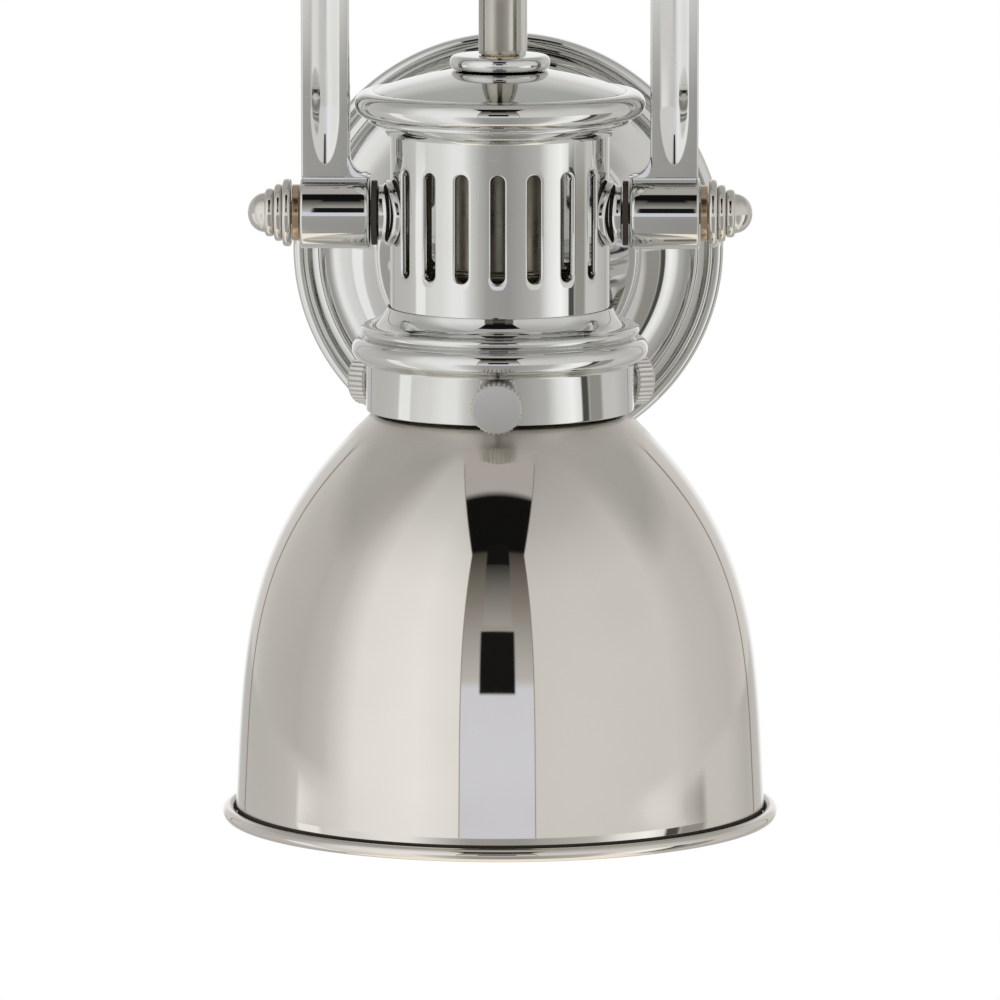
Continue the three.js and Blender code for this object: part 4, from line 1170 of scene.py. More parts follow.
@dataclass
class Housing:
    """The head's tube with its upright slots."""

    radius: float = HOUSING_RADIUS
    bore: float = HOUSING_BORE
    top: float = 24.2
    bottom: float = -27.6
    slot_width: float = 3.9
    slot_length: float = 29.4
    slot_drop: float = 1.5
    slot_edge: float = 0.6
    slots: int = 7
    pitch: float = 19.4
    slot_steps: int = 24
    blank_steps: int = 48
    rim_steps: int = 720
    sheet_steps: int = 5
    sheet_spread: float = 1.3
    crease: float = 40.0

    def build(self) -> None:
        """Builds the tube, with its inside unpolished and painted dark brown as painted shade."""
        made = piece("housing_visual", self._tube(), POLISHED, "head", HEAD, ["housing"], self.crease)
        made.data.materials.append(PAINTS.of(HOUSING_INSIDE_SHADED))
        # Faces inside the tube take the dark copy of the nickel, as painted shade
        for face in made.data.polygons:
            x, y, _ = face.center
            if math.hypot(x, y) < (self.bore + SEAT) * MM:
                face.material_index = 1

    def _tube(self) -> Form:
        """Makes the tube in cells of one slot's pitch and two blank sheets.

        Returns:
            The closed form.
        """
        form = Form()
        cells = self.slots * self.pitch / 2
        for face in (0, 180):
            for i in range(self.slots):
                self._cell(form, face + (i - (self.slots - 1) / 2) * self.pitch)
            self._blank(form, face + cells, face + 180 - cells)
        angles = [360 * i / self.rim_steps for i in range(self.rim_steps)]
        for height in (self.top, self.bottom):
            rings = [[self._at(r, angle, height) for angle in angles] for r in (self.radius, self.bore)]
            form.loft(rings, caps=False)
        return form

    def _at(self, radius: float, degrees: float, height: float) -> Vector:
        """Returns a point on the tube, with the angle counted from the front."""
        angle = math.radians(degrees - 90)
        return Vector((radius * math.cos(angle), radius * math.sin(angle), height))

    def _blank(self, form: Form, start: float, end: float) -> None:
        """Adds the outside and inside of the tube between two angles, without a slot.

        Args:
            form: the form to add to.
            start: where the sheet starts, in degrees.
            end: where it ends.
        """
        steps = self.blank_steps
        angles = [start + (end - start) * j / steps for j in range(steps + 1)]
        for radius in (self.radius, self.bore):
            base = len(form.vertices)
            for height in (self.bottom, self.top):
                form.vertices.extend(self._at(radius, angle, height) for angle in angles)
            for j in range(steps):
                low, high = base + j, base + steps + 1 + j
                form.faces.append((low, low + 1, high + 1, high))

    def _rim(self, grow: float) -> list[Point]:
        """Draws the slot's outline.

        Args:
            grow: how much larger it is all round than the slot itself.

        Returns:
            The points round it.
        """
        steps, end = self.slot_steps, self.slot_width / 2 + grow
        straight = (self.slot_length - self.slot_width) / 2
        rim = []
        for j in range(steps * 2):
            angle = math.pi * j / steps
            rise = straight if j < steps else -straight
            rim.append((end * math.cos(angle), end * math.sin(angle) + rise))
        rim.insert(steps, (-end, 0.0))
        rim.insert(0, (end, 0.0))
        return rim

    def _ring(self, radius: float, centre: float, points: Sequence[Point]) -> list[Vector]:
        """Returns points of a flat cell, laid on the tube about a centre in degrees."""
        step = 2 * math.pi * self.radius * self.pitch / 360
        return [self._at(radius, centre + x / step * self.pitch, z - self.slot_drop) for x, z in points]

    def _cell(self, form: Form, centre: float) -> None:
        """Adds one cell of the tube: its slot with a soft edge, its outside, its inside and the slot's walls.

        Args:
            form: the form to add to.
            centre: the cell's angle in degrees.
        """
        half = math.pi * self.radius * self.pitch / 360
        border = [self._to_border(x, z, half) for x, z in self._rim(0.0)]
        rings = [
            self._ring(self.radius - sink, centre, self._rim(grow))
            for grow, sink in quarter(self.slot_edge, 6)
        ]
        for radius, grow, first in ((self.radius, self.slot_edge, 1), (self.bore, 0.0, 0)):
            rim = self._rim(grow)
            for k in range(first, self.sheet_steps + 1):
                share = (k / self.sheet_steps) ** self.sheet_spread
                points = [
                    (x + (bx - x) * share, z + (bz - z) * share) for (x, z), (bx, bz) in zip(rim, border)
                ]
                rings.append(self._ring(radius, centre, points))
            form.loft(rings, caps=False)
            rings = []
        radii = (self.radius - self.slot_edge, self.bore)
        walls = [self._ring(radius, centre, self._rim(0.0)) for radius in radii]
        form.loft(walls, caps=False)

    def _to_border(self, x: float, z: float, half: float) -> Point:
        """Carries a point of the slot's rim to the border of its cell.

        Args:
            x: the point's place across the cell.
            z: its height about the slot's middle.
            half: half of the cell's width.

        Returns:
            The place on the border.
        """
        straight = (self.slot_length - self.slot_width) / 2
        if abs(z) <= straight + TINY:
            return math.copysign(half, x), z
        angle = math.atan2(abs(z) - straight, abs(x)) / (math.pi / 2)
        sign = 1 if z > 0 else -1
        reach = (self.top if z > 0 else -self.bottom) + sign * self.slot_drop - straight
        along = angle * (reach + half)
        if along <= reach:
            return math.copysign(half, x), sign * (straight + along)
        return math.copysign(half - (along - reach), x), sign * (straight + reach)


@dataclass
class LampHead:
    """The housing's cap, with its collar and stem, and the shade's holder under it."""

    cap_seat: Point = (13.0, 39.2)
    cap_dome: tuple[Point, Point] = ((27.4, 36.65), (34.2, 33.5))
    cap_shoulder: Point = (34.5, 33.05)
    cap_rim: Bead = (36.0, 30.0, 3.65)
    cap_bead: Bead = (35.0, 25.8, 0.95)
    cap_cove: tuple[Point, Point] = ((32.1, 23.65), (30.9, 21.7))
    cap_stop: float = 24.5
    cap_hollow: tuple[Point, Point] = ((HOUSING_BORE, 30.0), (32.3, 31.9))
    cap_lining: tuple[Point, Point] = ((26.2, 35.2), (12.1, 37.4))
    collar_foot: Point = (12.6, 39.5)
    collar_side: tuple[Point, Point] = ((13.7, 39.7), (13.7, 41.4))
    collar_crest: tuple[Point, Point] = ((13.7, 43.2), (11.8, 43.4))
    holder_lip: Point = (30.9, -25.6)
    holder_cove: tuple[Point, Point] = ((32.4, -29.9), (36.3, -30.5))
    holder_bead: Bead = (36.9, -31.8, 1.3)
    holder_groove: Point = (37.0, -33.3)
    holder_swell: Bead = (37.2, -37.0, 3.3)
    holder_neck: tuple[Point, Point] = ((36.9, -40.6), (BAND_RADIUS, -41.4))
    band_bottom: float = -53.9
    band_bore: float = 35.2
    holder_hollow: tuple[Point, Point] = ((35.2, -36.5), (33.7, -32.5))
    holder_ledge: Point = (-29.7, -27.9)
    stem: float = 5.85
    stem_bore: float = 5.1
    stem_low: float = 43.7
    stem_top: float = 80.9

    def build(self) -> None:
        """Builds and dresses the cap, the collar, the holder and the stem."""
        piece("cap_visual", turned(self._cap(), WIDE_SIDES), SPUN_NICKEL, "head", HEAD, ["cap"])
        piece("collar_visual", turned(self._collar()), SPUN_NICKEL, "head", HEAD, ["collar"])
        holder = turned(self._holder(), WIDE_SIDES)
        piece("holder_visual", holder, SPUN_NICKEL, "head", HEAD, ["shade_holder"])
        pen = Pen(self.stem_bore, self.stem_low).to(self.stem, self.stem_low, 0.2)
        pen.to(self.stem, self.stem_top, 0.2).to(self.stem_bore, self.stem_top)
        # The stem takes the darker copy of polished nickel, as painted shade
        piece("stem_visual", turned(pen.points(), SMALL_SIDES), SHADED_STEM_NICKEL, "head", HEAD, ["stem"])
        finish_nodes(NYLON, "stem_bushing")
        finish_nodes(BRASS, "head_nipple", "head_locknut")

    def _cap(self) -> list[Point]:
        """Draws the cap: a shallow dome, a rolled rim, a small bead and a lip on the housing.

        Returns:
            The outline.
        """
        low = self.cap_cove[1][1]
        pen = Pen(NIPPLE_SEAT, self.cap_seat[1]).to(*self.cap_seat).bend(*self.cap_dome)
        pen.to(*self.cap_shoulder).arc(self.cap_rim, 113, -80, 24)
        pen.arc(self.cap_bead, 75, -80, 10).bend(*self.cap_cove, steps=10)
        pen.to(HOUSING_SEAT, low, 0.1).to(HOUSING_SEAT, self.cap_stop).to(HOUSING_BORE, self.cap_stop)
        for corner in self.cap_hollow:
            pen.to(*corner, 1.0)
        return pen.bend(*self.cap_lining).to(NIPPLE_SEAT, self.cap_lining[1][1]).points()

    def _collar(self) -> list[Point]:
        """Draws the collar: one flat-topped bead.

        Returns:
            The outline.
        """
        pen = Pen(NIPPLE_SEAT, self.collar_foot[1]).to(*self.collar_foot, 0.3)
        pen.bend(*self.collar_side, steps=8)
        return pen.bend(*self.collar_crest, steps=8).to(NIPPLE_SEAT, self.collar_crest[1][1]).points()

    def _holder(self) -> list[Point]:
        """Draws the holder: a cove, a small bead, a wide bead and a plain band, with a ledge inside.

        Returns:
            The outline.
        """
        ledge, stop = self.holder_ledge
        pen = Pen(HOUSING_SEAT, self.holder_lip[1]).to(*self.holder_lip, 0.1)
        pen.bend(*self.holder_cove, steps=12)
        pen.arc(self.holder_bead, 100, -68).to(*self.holder_groove)
        pen.arc(self.holder_swell, 85, -76, 24).bend(*self.holder_neck, steps=6)
        pen.to(BAND_RADIUS, self.band_bottom, 0.4).to(self.band_bore, self.band_bottom, 0.4)
        for corner in self.holder_hollow:
            pen.to(*corner, 1.0)
        return pen.to(HOUSING_BORE, ledge, 0.3).to(HOUSING_BORE, stop).to(HOUSING_SEAT, stop).points()


@dataclass
class Pivot:
    """The stack on one side: boss, washer, spacer and finial nut, out along the pivot."""

    side: Side
    bore: float = 3.3
    pad: tuple[float, float, float] = (9.0, 12.9, 31.3)
    pad_edge: float = 0.6
    cove: float = 1.4
    neck: tuple[float, float] = (7.5, 33.2)
    neck_edge: float = 0.35
    boss_sides: int = 128
    washer: tuple[float, float, float] = (8.8, 33.5, 35.05)
    spacer: tuple[float, float, float] = (7.7, 54.7, 56.6)
    nut_face: float = 56.9
    rings: tuple[Point, ...] = ((9.3, 2.4), (7.85, 2.3), (6.6, 2.5))
    ring_flat: float = 1.0
    nose: Point = (5.4, 4.8)
    nut_bore: Point = (64.0, 63.7)

    def build(self) -> None:
        """Builds and dresses the stack."""
        word, place = self.side.word, self.side.pivot
        piece("boss_visual_" + word, self._boss(), POLISHED, "head", place, ["pivot_boss_" + word])
        for name, node, sizes, finish in (
            ("washer", "friction_washer_", self.washer, BLACK_FIBRE_AND_PAINTED_SHADE),
            ("spacer", "pivot_spacer_", self.spacer, BRONZE),
        ):
            radius, low, high = sizes
            pen = Pen(self.bore, low).to(radius, low, 0.2).to(radius, high, 0.2).to(self.bore, high)
            piece(name + "_visual_" + word, turned(pen.points()), finish, "head", place, [node + word])
        nut = "pivot_nut_" + word
        piece("finial_visual_" + word, turned(self._nut()), WARM_NICKEL, nut, place, [nut])
        finish_nodes(ZINC, "pivot_stud_" + word)

    def _oval(self, tall: float, wide: float, height: float, bent: bool = True) -> list[Vector]:
        """Draws one ring of the boss.

        Args:
            tall: half of its height along the head's axis.
            wide: half of its width.
            height: how far out along the pivot it lies, at its middle.
            bent: whether it is bent round the head's axis.

        Returns:
            The points round it.
        """
        points = []
        for cosine, sine in circle(1.0, self.boss_sides):
            y = wide * sine
            points.append(Vector((tall * cosine, y, math.sqrt(height**2 - y * y) if bent else height)))
        return points

    def _boss(self) -> Form:
        """Makes the boss: an oval pad bent round the housing, and a round neck with the pivot's bore.

        Returns:
            The closed form.
        """
        tall, wide, crest = self.pad
        neck, face = self.neck
        rings = [self._oval(self.bore, self.bore, HOUSING_RADIUS), self._oval(tall, wide, HOUSING_RADIUS)]
        for inset, sink in quarter(self.pad_edge, 5):
            rings.append(self._oval(tall - inset, wide - inset, crest - sink))
        for rise, spread in quarter(self.cove, 8):
            rings.append(self._oval(neck + spread, neck + spread, crest + rise))
        for inset, sink in quarter(self.neck_edge, 4):
            rings.append(self._oval(neck - inset, neck - inset, face - sink, bent=False))
        rings.append(self._oval(self.bore, self.bore, face, bent=False))
        return Form().loft(rings, closed=True)

    def _nut(self) -> list[Point]:
        """Draws the nut: three rounded rings and a bullet nose over a blind bore.

        Returns:
            The outline.
        """
        pen, z = Pen(self.bore, self.nut_face), self.nut_face
        for radius, width in self.rings:
            flat = radius - self.ring_flat
            pen.to(flat, z).bend((radius, z), (radius, z + width / 2), steps=7)
            pen.bend((radius, z + width), (flat, z + width), steps=7)
            z += width
        width, length = self.nose
        steps = 16
        for i in range(1, steps + 1):
            angle = math.pi / 2 * i / steps
            pen.to(width * math.cos(angle), z + length * math.sin(angle))
        return pen.to(0.0, self.nut_bore[0]).to(self.bore, self.nut_bore[1]).points()


@dataclass
class Thumbscrew:
    """One knurled screw that clamps the shade's neck."""

    word: str
    turn: float
    height: float = -48.3
    head: float = 7.1
    thick: float = 5.5
    chamfer: float = 0.7
    bevel: float = 0.65
    neck: Point = (3.1, 3.0)
    shank: Point = (2.0, -3.2)
    teeth: int = 34
    tooth_steps: int = 10
    tooth_depth: float = 0.35
    tooth_start: float = 0.62
    tooth_fade: float = 0.3
    tooth_round: float = 0.8
    crease: float = 25.0

    def build(self) -> None:
        """Builds and dresses the screw."""
        turn = Matrix.Rotation(math.radians(self.turn), 4, "Z")
        place = HEAD @ turn @ shifted(0, -BAND_RADIUS, self.height) @ WALL
        form = turned(self._outline(), self.teeth * self.tooth_steps, self._knurl)
        node = "thumbscrew_" + self.word
        piece("thumb_visual_" + self.word, form, SATIN_NICKEL, node, place, [node], self.crease)

    def _outline(self) -> list[Point]:
        """Draws the screw: a shank, a neck and a flat head.

        Returns:
            The outline.
        """
        neck, face = self.neck
        shank, tip = self.shank
        top = face + self.thick
        pen = Pen(0.0, tip).to(shank, tip, 0.3).to(shank, SEAT).to(neck, SEAT, 0.2).to(neck, face, 0.4)
        pen.to(self.head - self.chamfer, face, 0.1).to(self.head, face + self.chamfer, 0.1)
        pen.to(self.head, top - self.bevel, 0.1).to(self.head - self.bevel, top, 0.25)
        return pen.to(0.0, top).points()

    def _knurl(self, radius: float, angle: float) -> float:
        """Returns how far the head's side is cut in at a radius and an angle."""
        share = min(max((radius - self.head + self.tooth_start) / self.tooth_fade, 0.0), 1.0)
        return -self.tooth_depth * share * abs(math.sin(angle * self.teeth / 2)) ** self.tooth_round


@dataclass
class Shade:
    """The spun bell with its rolled lip."""

    neck: float = 33.2
    neck_top: float = -44.0
    shoulder: Point = (34.3, -54.35)
    end: Point = (72.6, -162.5)
    pulls: tuple[Point, Point] = ((0.976, 0.317), (0.941, 0.606))
    lip: Bead = (74.4, -164.9, 1.8)
    lip_start: Point = (-0.35, -0.15)
    # The band of faces over the lip that is painted black as painted shade of the crevice, by rise and reach
    crevice_shadow_rise: Point = (-0.1, 1.8)
    crevice_shadow_reach: Point = (-0.6, 0.25)
    wall: float = 1.2
    hollow: float = 65.0
    sides: int = 256

    def build(self) -> None:
        """Builds the bell, with a duller inside and the crevice over its lip painted black as painted shade.
        """
        form = turned(self._outline(), self.sides)
        made = piece("shade_visual", form, SHADE_NICKEL, "shade", HEAD, ["shade"])
        # The third material is the black one, used as painted shade in the crevice over the lip
        for finish in (SHADE_INSIDE, BLACK_FIBRE_AND_PAINTED_SHADE):
            made.data.materials.append(PAINTS.of(finish))
        for face in made.data.polygons:
            face.material_index = self._paint_of(face)

    def _paint_of(self, face: bpy.types.MeshPolygon) -> int:
        """Chooses a face's material.

        Args:
            face: a face of the bell's mesh.

        Returns:
            0 for the outside, 1 for the inside and 2 for the crevice over the lip, which is painted black as
            painted shade.
        """
        x, y, z = face.center
        radius, height = math.hypot(x, y) / MM, z / MM
        inward = face.normal.x * x + face.normal.y * y < 0
        if (inward and height > self.lip[1]) or (face.normal.z < -0.3 and radius < self.hollow):
            return 1
        # The crevice over the lip gets the black material as painted shade
        low, high = (self.lip[1] + rise for rise in self.crevice_shadow_rise)
        near, far = (self.end[0] + reach for reach in self.crevice_shadow_reach)
        return 2 if low < height < high and near < radius < far else 0

    def _bell(self, inset: float) -> list[Point]:
        """Draws the bell's curve.

        Args:
            inset: how far it is moved in.

        Returns:
            Its start, its two pulls and its end.
        """
        start = (self.shoulder[0] - inset / 2, self.shoulder[1] - inset)
        end = (self.end[0] - inset, self.end[1])
        width, height = end[0] - start[0], end[1] - start[1]
        return [start, *[(start[0] + width * a, start[1] + height * b) for a, b in self.pulls], end]

    def _outline(self) -> list[Point]:
        """Draws the shade: neck, bell, rolled lip, and the inside back up.

        Returns:
            The outline.
        """
        outside, inside = self._bell(0.0), self._bell(self.wall)
        pen = Pen(self.neck - self.wall, self.neck_top).to(self.neck, self.neck_top, 0.2)
        pen.to(self.neck, self.shoulder[1] + 1.0, 0.4).to(*outside[0]).bend(*outside[1:], steps=64)
        height = self.lip[1]
        pen.to(self.end[0] + self.lip_start[0], height + self.lip_start[1]).arc(self.lip, 186, -110, 32)
        pen.to(self.end[0] - self.wall, height)
        back = Pen(*inside[0]).bend(*inside[1:], steps=48).points()
        return [*pen.points(), *reversed(back), (self.neck - self.wall, self.shoulder[1])]


@dataclass
class Lampholder:
    """The lampholder seen through the slots, and the bulb in it."""

    shell: tuple[float, float, float] = (17.5, -39.5, 17.5)
    shell_wall: float = 0.7
    ledge: Point = (-15.2, 0.8)
    ledge_foot: float = 0.9
    cup_low: float = 14.5
    cup_bend: float = 20.5
    cup_top: float = 27.5
    cup_neck: Point = (8.0, 32.9)
    cup_throat: float = 7.4
    base: float = 13.2
    base_top: float = -8.7
    base_low: float = -35.5
    contact: tuple[Point, ...] = ((3.8, 0.0), (4.8, -1.0), (9.5, -2.4), (12.2, -3.8))
    contact_fillets: tuple[float, ...] = (0.4, 0.3, 0.4, 0.5)
    thread_turns: int = 6
    thread_steps: int = 8
    thread_depth: float = 0.45
    thread_start: float = 4.4
    glass: float = 30.0
    glass_neck: float = 12.8
    glass_wall: float = 1.0
    glass_centre: float = -87.5
    glass_pulls: Point = (0.45, 0.42)
    glass_sides: int = 128

    def build(self) -> None:
        """Builds and dresses the lampholder and the bulb."""
        glass = turned(self._bulb(), self.glass_sides)
        piece("shell_visual", turned(self._shell()), ALUMINIUM, "head", HEAD, ["socket_shell"])
        piece("cup_visual", turned(self._cup()), ALUMINIUM, "head", HEAD, ["socket_cap"])
        piece("bulb_base_visual", turned(self._base(), SMALL_SIDES), ALUMINIUM, "bulb", HEAD, ["bulb_base"])
        piece("bulb_glass_visual", glass, BULB_GLASS, "bulb", HEAD, ["bulb_glass"])
        finish_nodes(CARD, "socket_liner")
        finish_nodes(PORCELAIN, "socket_core")
        finish_nodes(BRASS, "screw_shell", "centre_contact")

    def _shell(self) -> list[Point]:
        """Draws the shell with its rolled ledge.

        Returns:
            The outline.
        """
        radius, low, high = self.shell
        ledge, size = self.ledge
        inner = radius - self.shell_wall
        pen = Pen(inner, low).to(radius, low, 0.2).to(radius, ledge - self.ledge_foot, 0.2)
        pen.arc((radius, ledge, size), -80, 80, 10).to(radius, ledge + self.ledge_foot, 0.2)
        return pen.to(radius, high, 0.2).to(inner, high).points()

    def _cup(self) -> list[Point]:
        """Draws the cup above the shell.

        Returns:
            The outline.
        """
        wall = self.shell_wall
        bore, low, top = self.shell[0] + SEAT, self.cup_low, self.cup_top
        outer, (neck, high) = bore + wall, self.cup_neck
        pen = Pen(bore, low).to(outer, low, 0.2).to(outer, self.cup_bend).bend((outer, top), (neck, top))
        pen.to(neck, high, 0.4).to(NIPPLE_SEAT, high).to(NIPPLE_SEAT, top - wall)
        pen.to(self.cup_throat, top - wall)
        return pen.bend((bore, top - wall), (bore, self.cup_bend)).points()

    def _base(self) -> list[Point]:
        """Draws the bulb's base: contact, insulator and rolled thread.

        Returns:
            The outline.
        """
        low, top, depth = self.base_low, self.base_top, self.thread_depth
        start = top - self.thread_start
        pen = Pen(0.0, top)
        for (radius, rise), fillet in zip(self.contact, self.contact_fillets):
            pen.to(radius, top + rise, fillet)
        steps = self.thread_turns * self.thread_steps
        for i in range(steps + 1):
            share = i / steps
            z = start + (low + 1.0 - start) * share
            pen.to(self.base - depth + depth * math.cos(math.tau * share * self.thread_turns), z)
        pen.to(self.base, low).to(self.base - 0.8, low).to(self.base - 1.4, start)
        return pen.to(0.0, start + 0.6).points()

    def _bulb(self) -> list[Point]:
        """Draws the wall of the bulb's glass.

        Returns:
            The outline, down the outside and back up the inside.
        """
        top, centre = self.base_low - SEAT, self.glass_centre
        drop = top - centre
        near, far = self.glass_pulls
        outside, inside = [], []
        for inset, chain in ((0.0, outside), (self.glass_wall, inside)):
            neck, ball = self.glass_neck - inset, self.glass - inset
            pen = Pen(neck, top)
            pen.bend((neck, top - drop * near), (ball, centre + drop * far), (ball, centre), steps=24)
            chain.extend(pen.arc((0.0, centre, ball), 0, -90, 24).points())
        return [*outside, *reversed(inside)]


# Studio

# The strongest light, by which every light is divided, because a ramp's colours end at 1
PEAK = 1.5
# Light of the screens below and above the horizon: bearing from the front in degrees, level, and warmth
LOW_LIGHT = [
    (-180, 0.6, 0.99), (-150, 0.62, 0.99), (-130, 0.66, 0.985), (-107, 0.72, 0.985),
    (-76, 0.96, 0.99), (-63, 1.0, 0.995), (-50, 1.15, 1.0), (-38, 1.14, 1.0), (-29, 0.84, 0.99),
    (-20, 0.62, 0.985), (-12, 0.47, 0.98), (10, 0.44, 0.98), (22, 0.52, 0.98), (43, 0.66, 0.98),
    (54, 1.1, 1.0), (68, 1.35, 1.0), (75, 1.15, 1.0), (90, 0.8, 0.98), (120, 0.78, 0.98),
    (140, 0.62, 0.98), (160, 0.66, 0.98), (180, 0.6, 0.98),
]
HIGH_LIGHT = [
    (-180, 0.8, 0.99), (-150, 0.76, 0.985), (-131, 0.68, 0.985), (-100, 0.64, 0.985), (-84, 0.74, 0.985),
    (-66, 1.08, 0.995), (-36, 1.16, 1.0), (-17, 1.06, 1.0), (17, 0.86, 0.985), (45, 0.88, 0.98),
    (84, 0.86, 0.98), (100, 0.76, 0.975), (125, 0.7, 0.975), (145, 0.78, 0.98), (180, 0.8, 0.98),
]
# Where the low light gives way to the high one, by height in degrees
HORIZON = (-5.6, -4.9)
# How the screens fade by height above the horizon in degrees
SCREEN_FADE = [
    (-90, 0.95), (-30, 0.95), (-8, 1.0), (10, 1.0), (32, 0.95), (45, 0.84), (55, 0.72), (70, 0.6), (90, 0.55),
]
# The gap in front and overhead: half its width in degrees, its reach to a side for each rise, and the
# colour of its edge with the edge's width in degrees and its reach to a side
GAP_HALF = 16.3
GAP_OVERHEAD = 0.27
GAP_EDGE = (0.2, 0.165, 0.135)
GAP_EDGE_WIDTH = 0.35
GAP_EDGE_REACH = 0.016
# Where the gap starts, by height in degrees, and how softly it ends at its sides in front and overhead
GAP_FLOOR = (-5.0, -4.6)
GAP_SOFT = 0.2
GAP_SOFT_OVERHEAD = 0.004
# The gap overhead sets in over the first rise, and ends over the second way to the back
OVERHEAD_RISE = (0.3, 0.5)
OVERHEAD_BACK = (0.0, 0.08)
# The gap's colour by height above the horizon in degrees
GAP_LIGHT = [
    (-90, (0.95, 0.85, 0.68)), (-8, (0.5, 0.5, 0.5)), (-4, (0.88, 0.9, 1.0)), (7, (0.86, 0.88, 0.98)),
    (9, (0.66, 0.65, 0.64)), (30, (0.3, 0.28, 0.25)), (47, (0.08, 0.07, 0.06)), (48, (0.008, 0.008, 0.008)),
    (67, (0.008, 0.008, 0.008)), (69, (0.57, 0.54, 0.53)), (90, (0.57, 0.54, 0.53)),
]
# The ceiling behind the light, and the way to the back and the rise over which it sets in
CEILING = (0.52, 0.52, 0.505)
CEILING_BACK = (-0.1, 0.2)
CEILING_RISE = (24.0, 34.0)
# The way to the back over which the white backdrop sets in
BACKDROP = (0.93, 0.97)


@dataclass(frozen=True)
class Panel:
    """A dark or light panel in front of the light, in degrees, with its colours at its foot and top."""

    bearing: Point
    height: Point
    low: tuple[float, float, float]
    high: tuple[float, float, float]
    soft: float = 0.5
    soft_height: float = 0.3

    def mask(self, nodes: Nodes, turn: object, rise: object) -> bpy.types.NodeSocket:
        """Finds where the panel is seen.

        Args:
            nodes: the world's node tools.
            turn: the bearing from the front in degrees.
            rise: the height above the horizon in degrees.

        Returns:
            A value of 1 on the panel and 0 off it.
        """
        masks = []
        for value, (start, end), soft in (
            (turn, self.bearing, self.soft), (rise, self.height, self.soft_height)
        ):
            off = nodes.math("ABSOLUTE", nodes.math("SUBTRACT", value, (start + end) / 2))
            half = (end - start) / 2
            masks.append(nodes.mapped(off, (half - soft, half + soft), (1.0, 0.0)))
        return nodes.product(*masks)

    def colour(self, nodes: Nodes, rise: object) -> bpy.types.NodeSocket:
        """Returns the panel's colour from its foot to its top, as shares of the peak."""
        share = nodes.mapped(rise, self.height)
        return nodes.mix(share, (*shares(self.low), 1.0), (*shares(self.high), 1.0))


PANELS = [
    Panel((-7.0, 7.0), (22.5, 43.5), (0.47, 0.455, 0.43), (0.03, 0.03, 0.028)),
    Panel((-7.0, 7.0), (43.0, 50.0), (0.01, 0.01, 0.01), (0.01, 0.01, 0.01)),
    Panel((-8.0, 8.0), (6.0, 21.0), (0.012, 0.012, 0.012), (0.012, 0.012, 0.012)),
]
# The screens' own bright and dark strips: the seams far round at both sides reach all the way up
SIDE_PANELS = [
    Panel((-148.0, -146.6), (-60.0, 75.0), (0.3, 0.26, 0.2), (0.3, 0.26, 0.2)),
    Panel((146.6, 148.0), (-60.0, 75.0), (0.3, 0.26, 0.2), (0.3, 0.26, 0.2)),
    Panel((-98.0, -84.0), (-50.0, -5.9), (1.2, 1.2, 1.2), (1.2, 1.2, 1.2), 1.2),
    Panel((78.0, 86.0), (-50.0, -5.9), (0.1, 0.1, 0.09), (0.1, 0.1, 0.09), 1.0),
    Panel((86.0, 102.0), (-50.0, -5.9), (0.4, 0.39, 0.36), (0.4, 0.39, 0.36), 2.0),
]


def shares(colour: Sequence[float]) -> tuple[float, ...]:
    """Returns a light's colour as shares of the peak."""
    return tuple(value / PEAK for value in colour)


def by_height(
    nodes: Nodes, rise: object, table: Sequence[tuple[float, Sequence[float]]]
) -> bpy.types.NodeSocket:
    """Returns the colour that a table gives by height in degrees."""
    place = nodes.math("MULTIPLY_ADD", rise, 1 / 180, 0.5)
    return nodes.ramp(place, [((height + 90) / 180, colour) for height, colour in table])


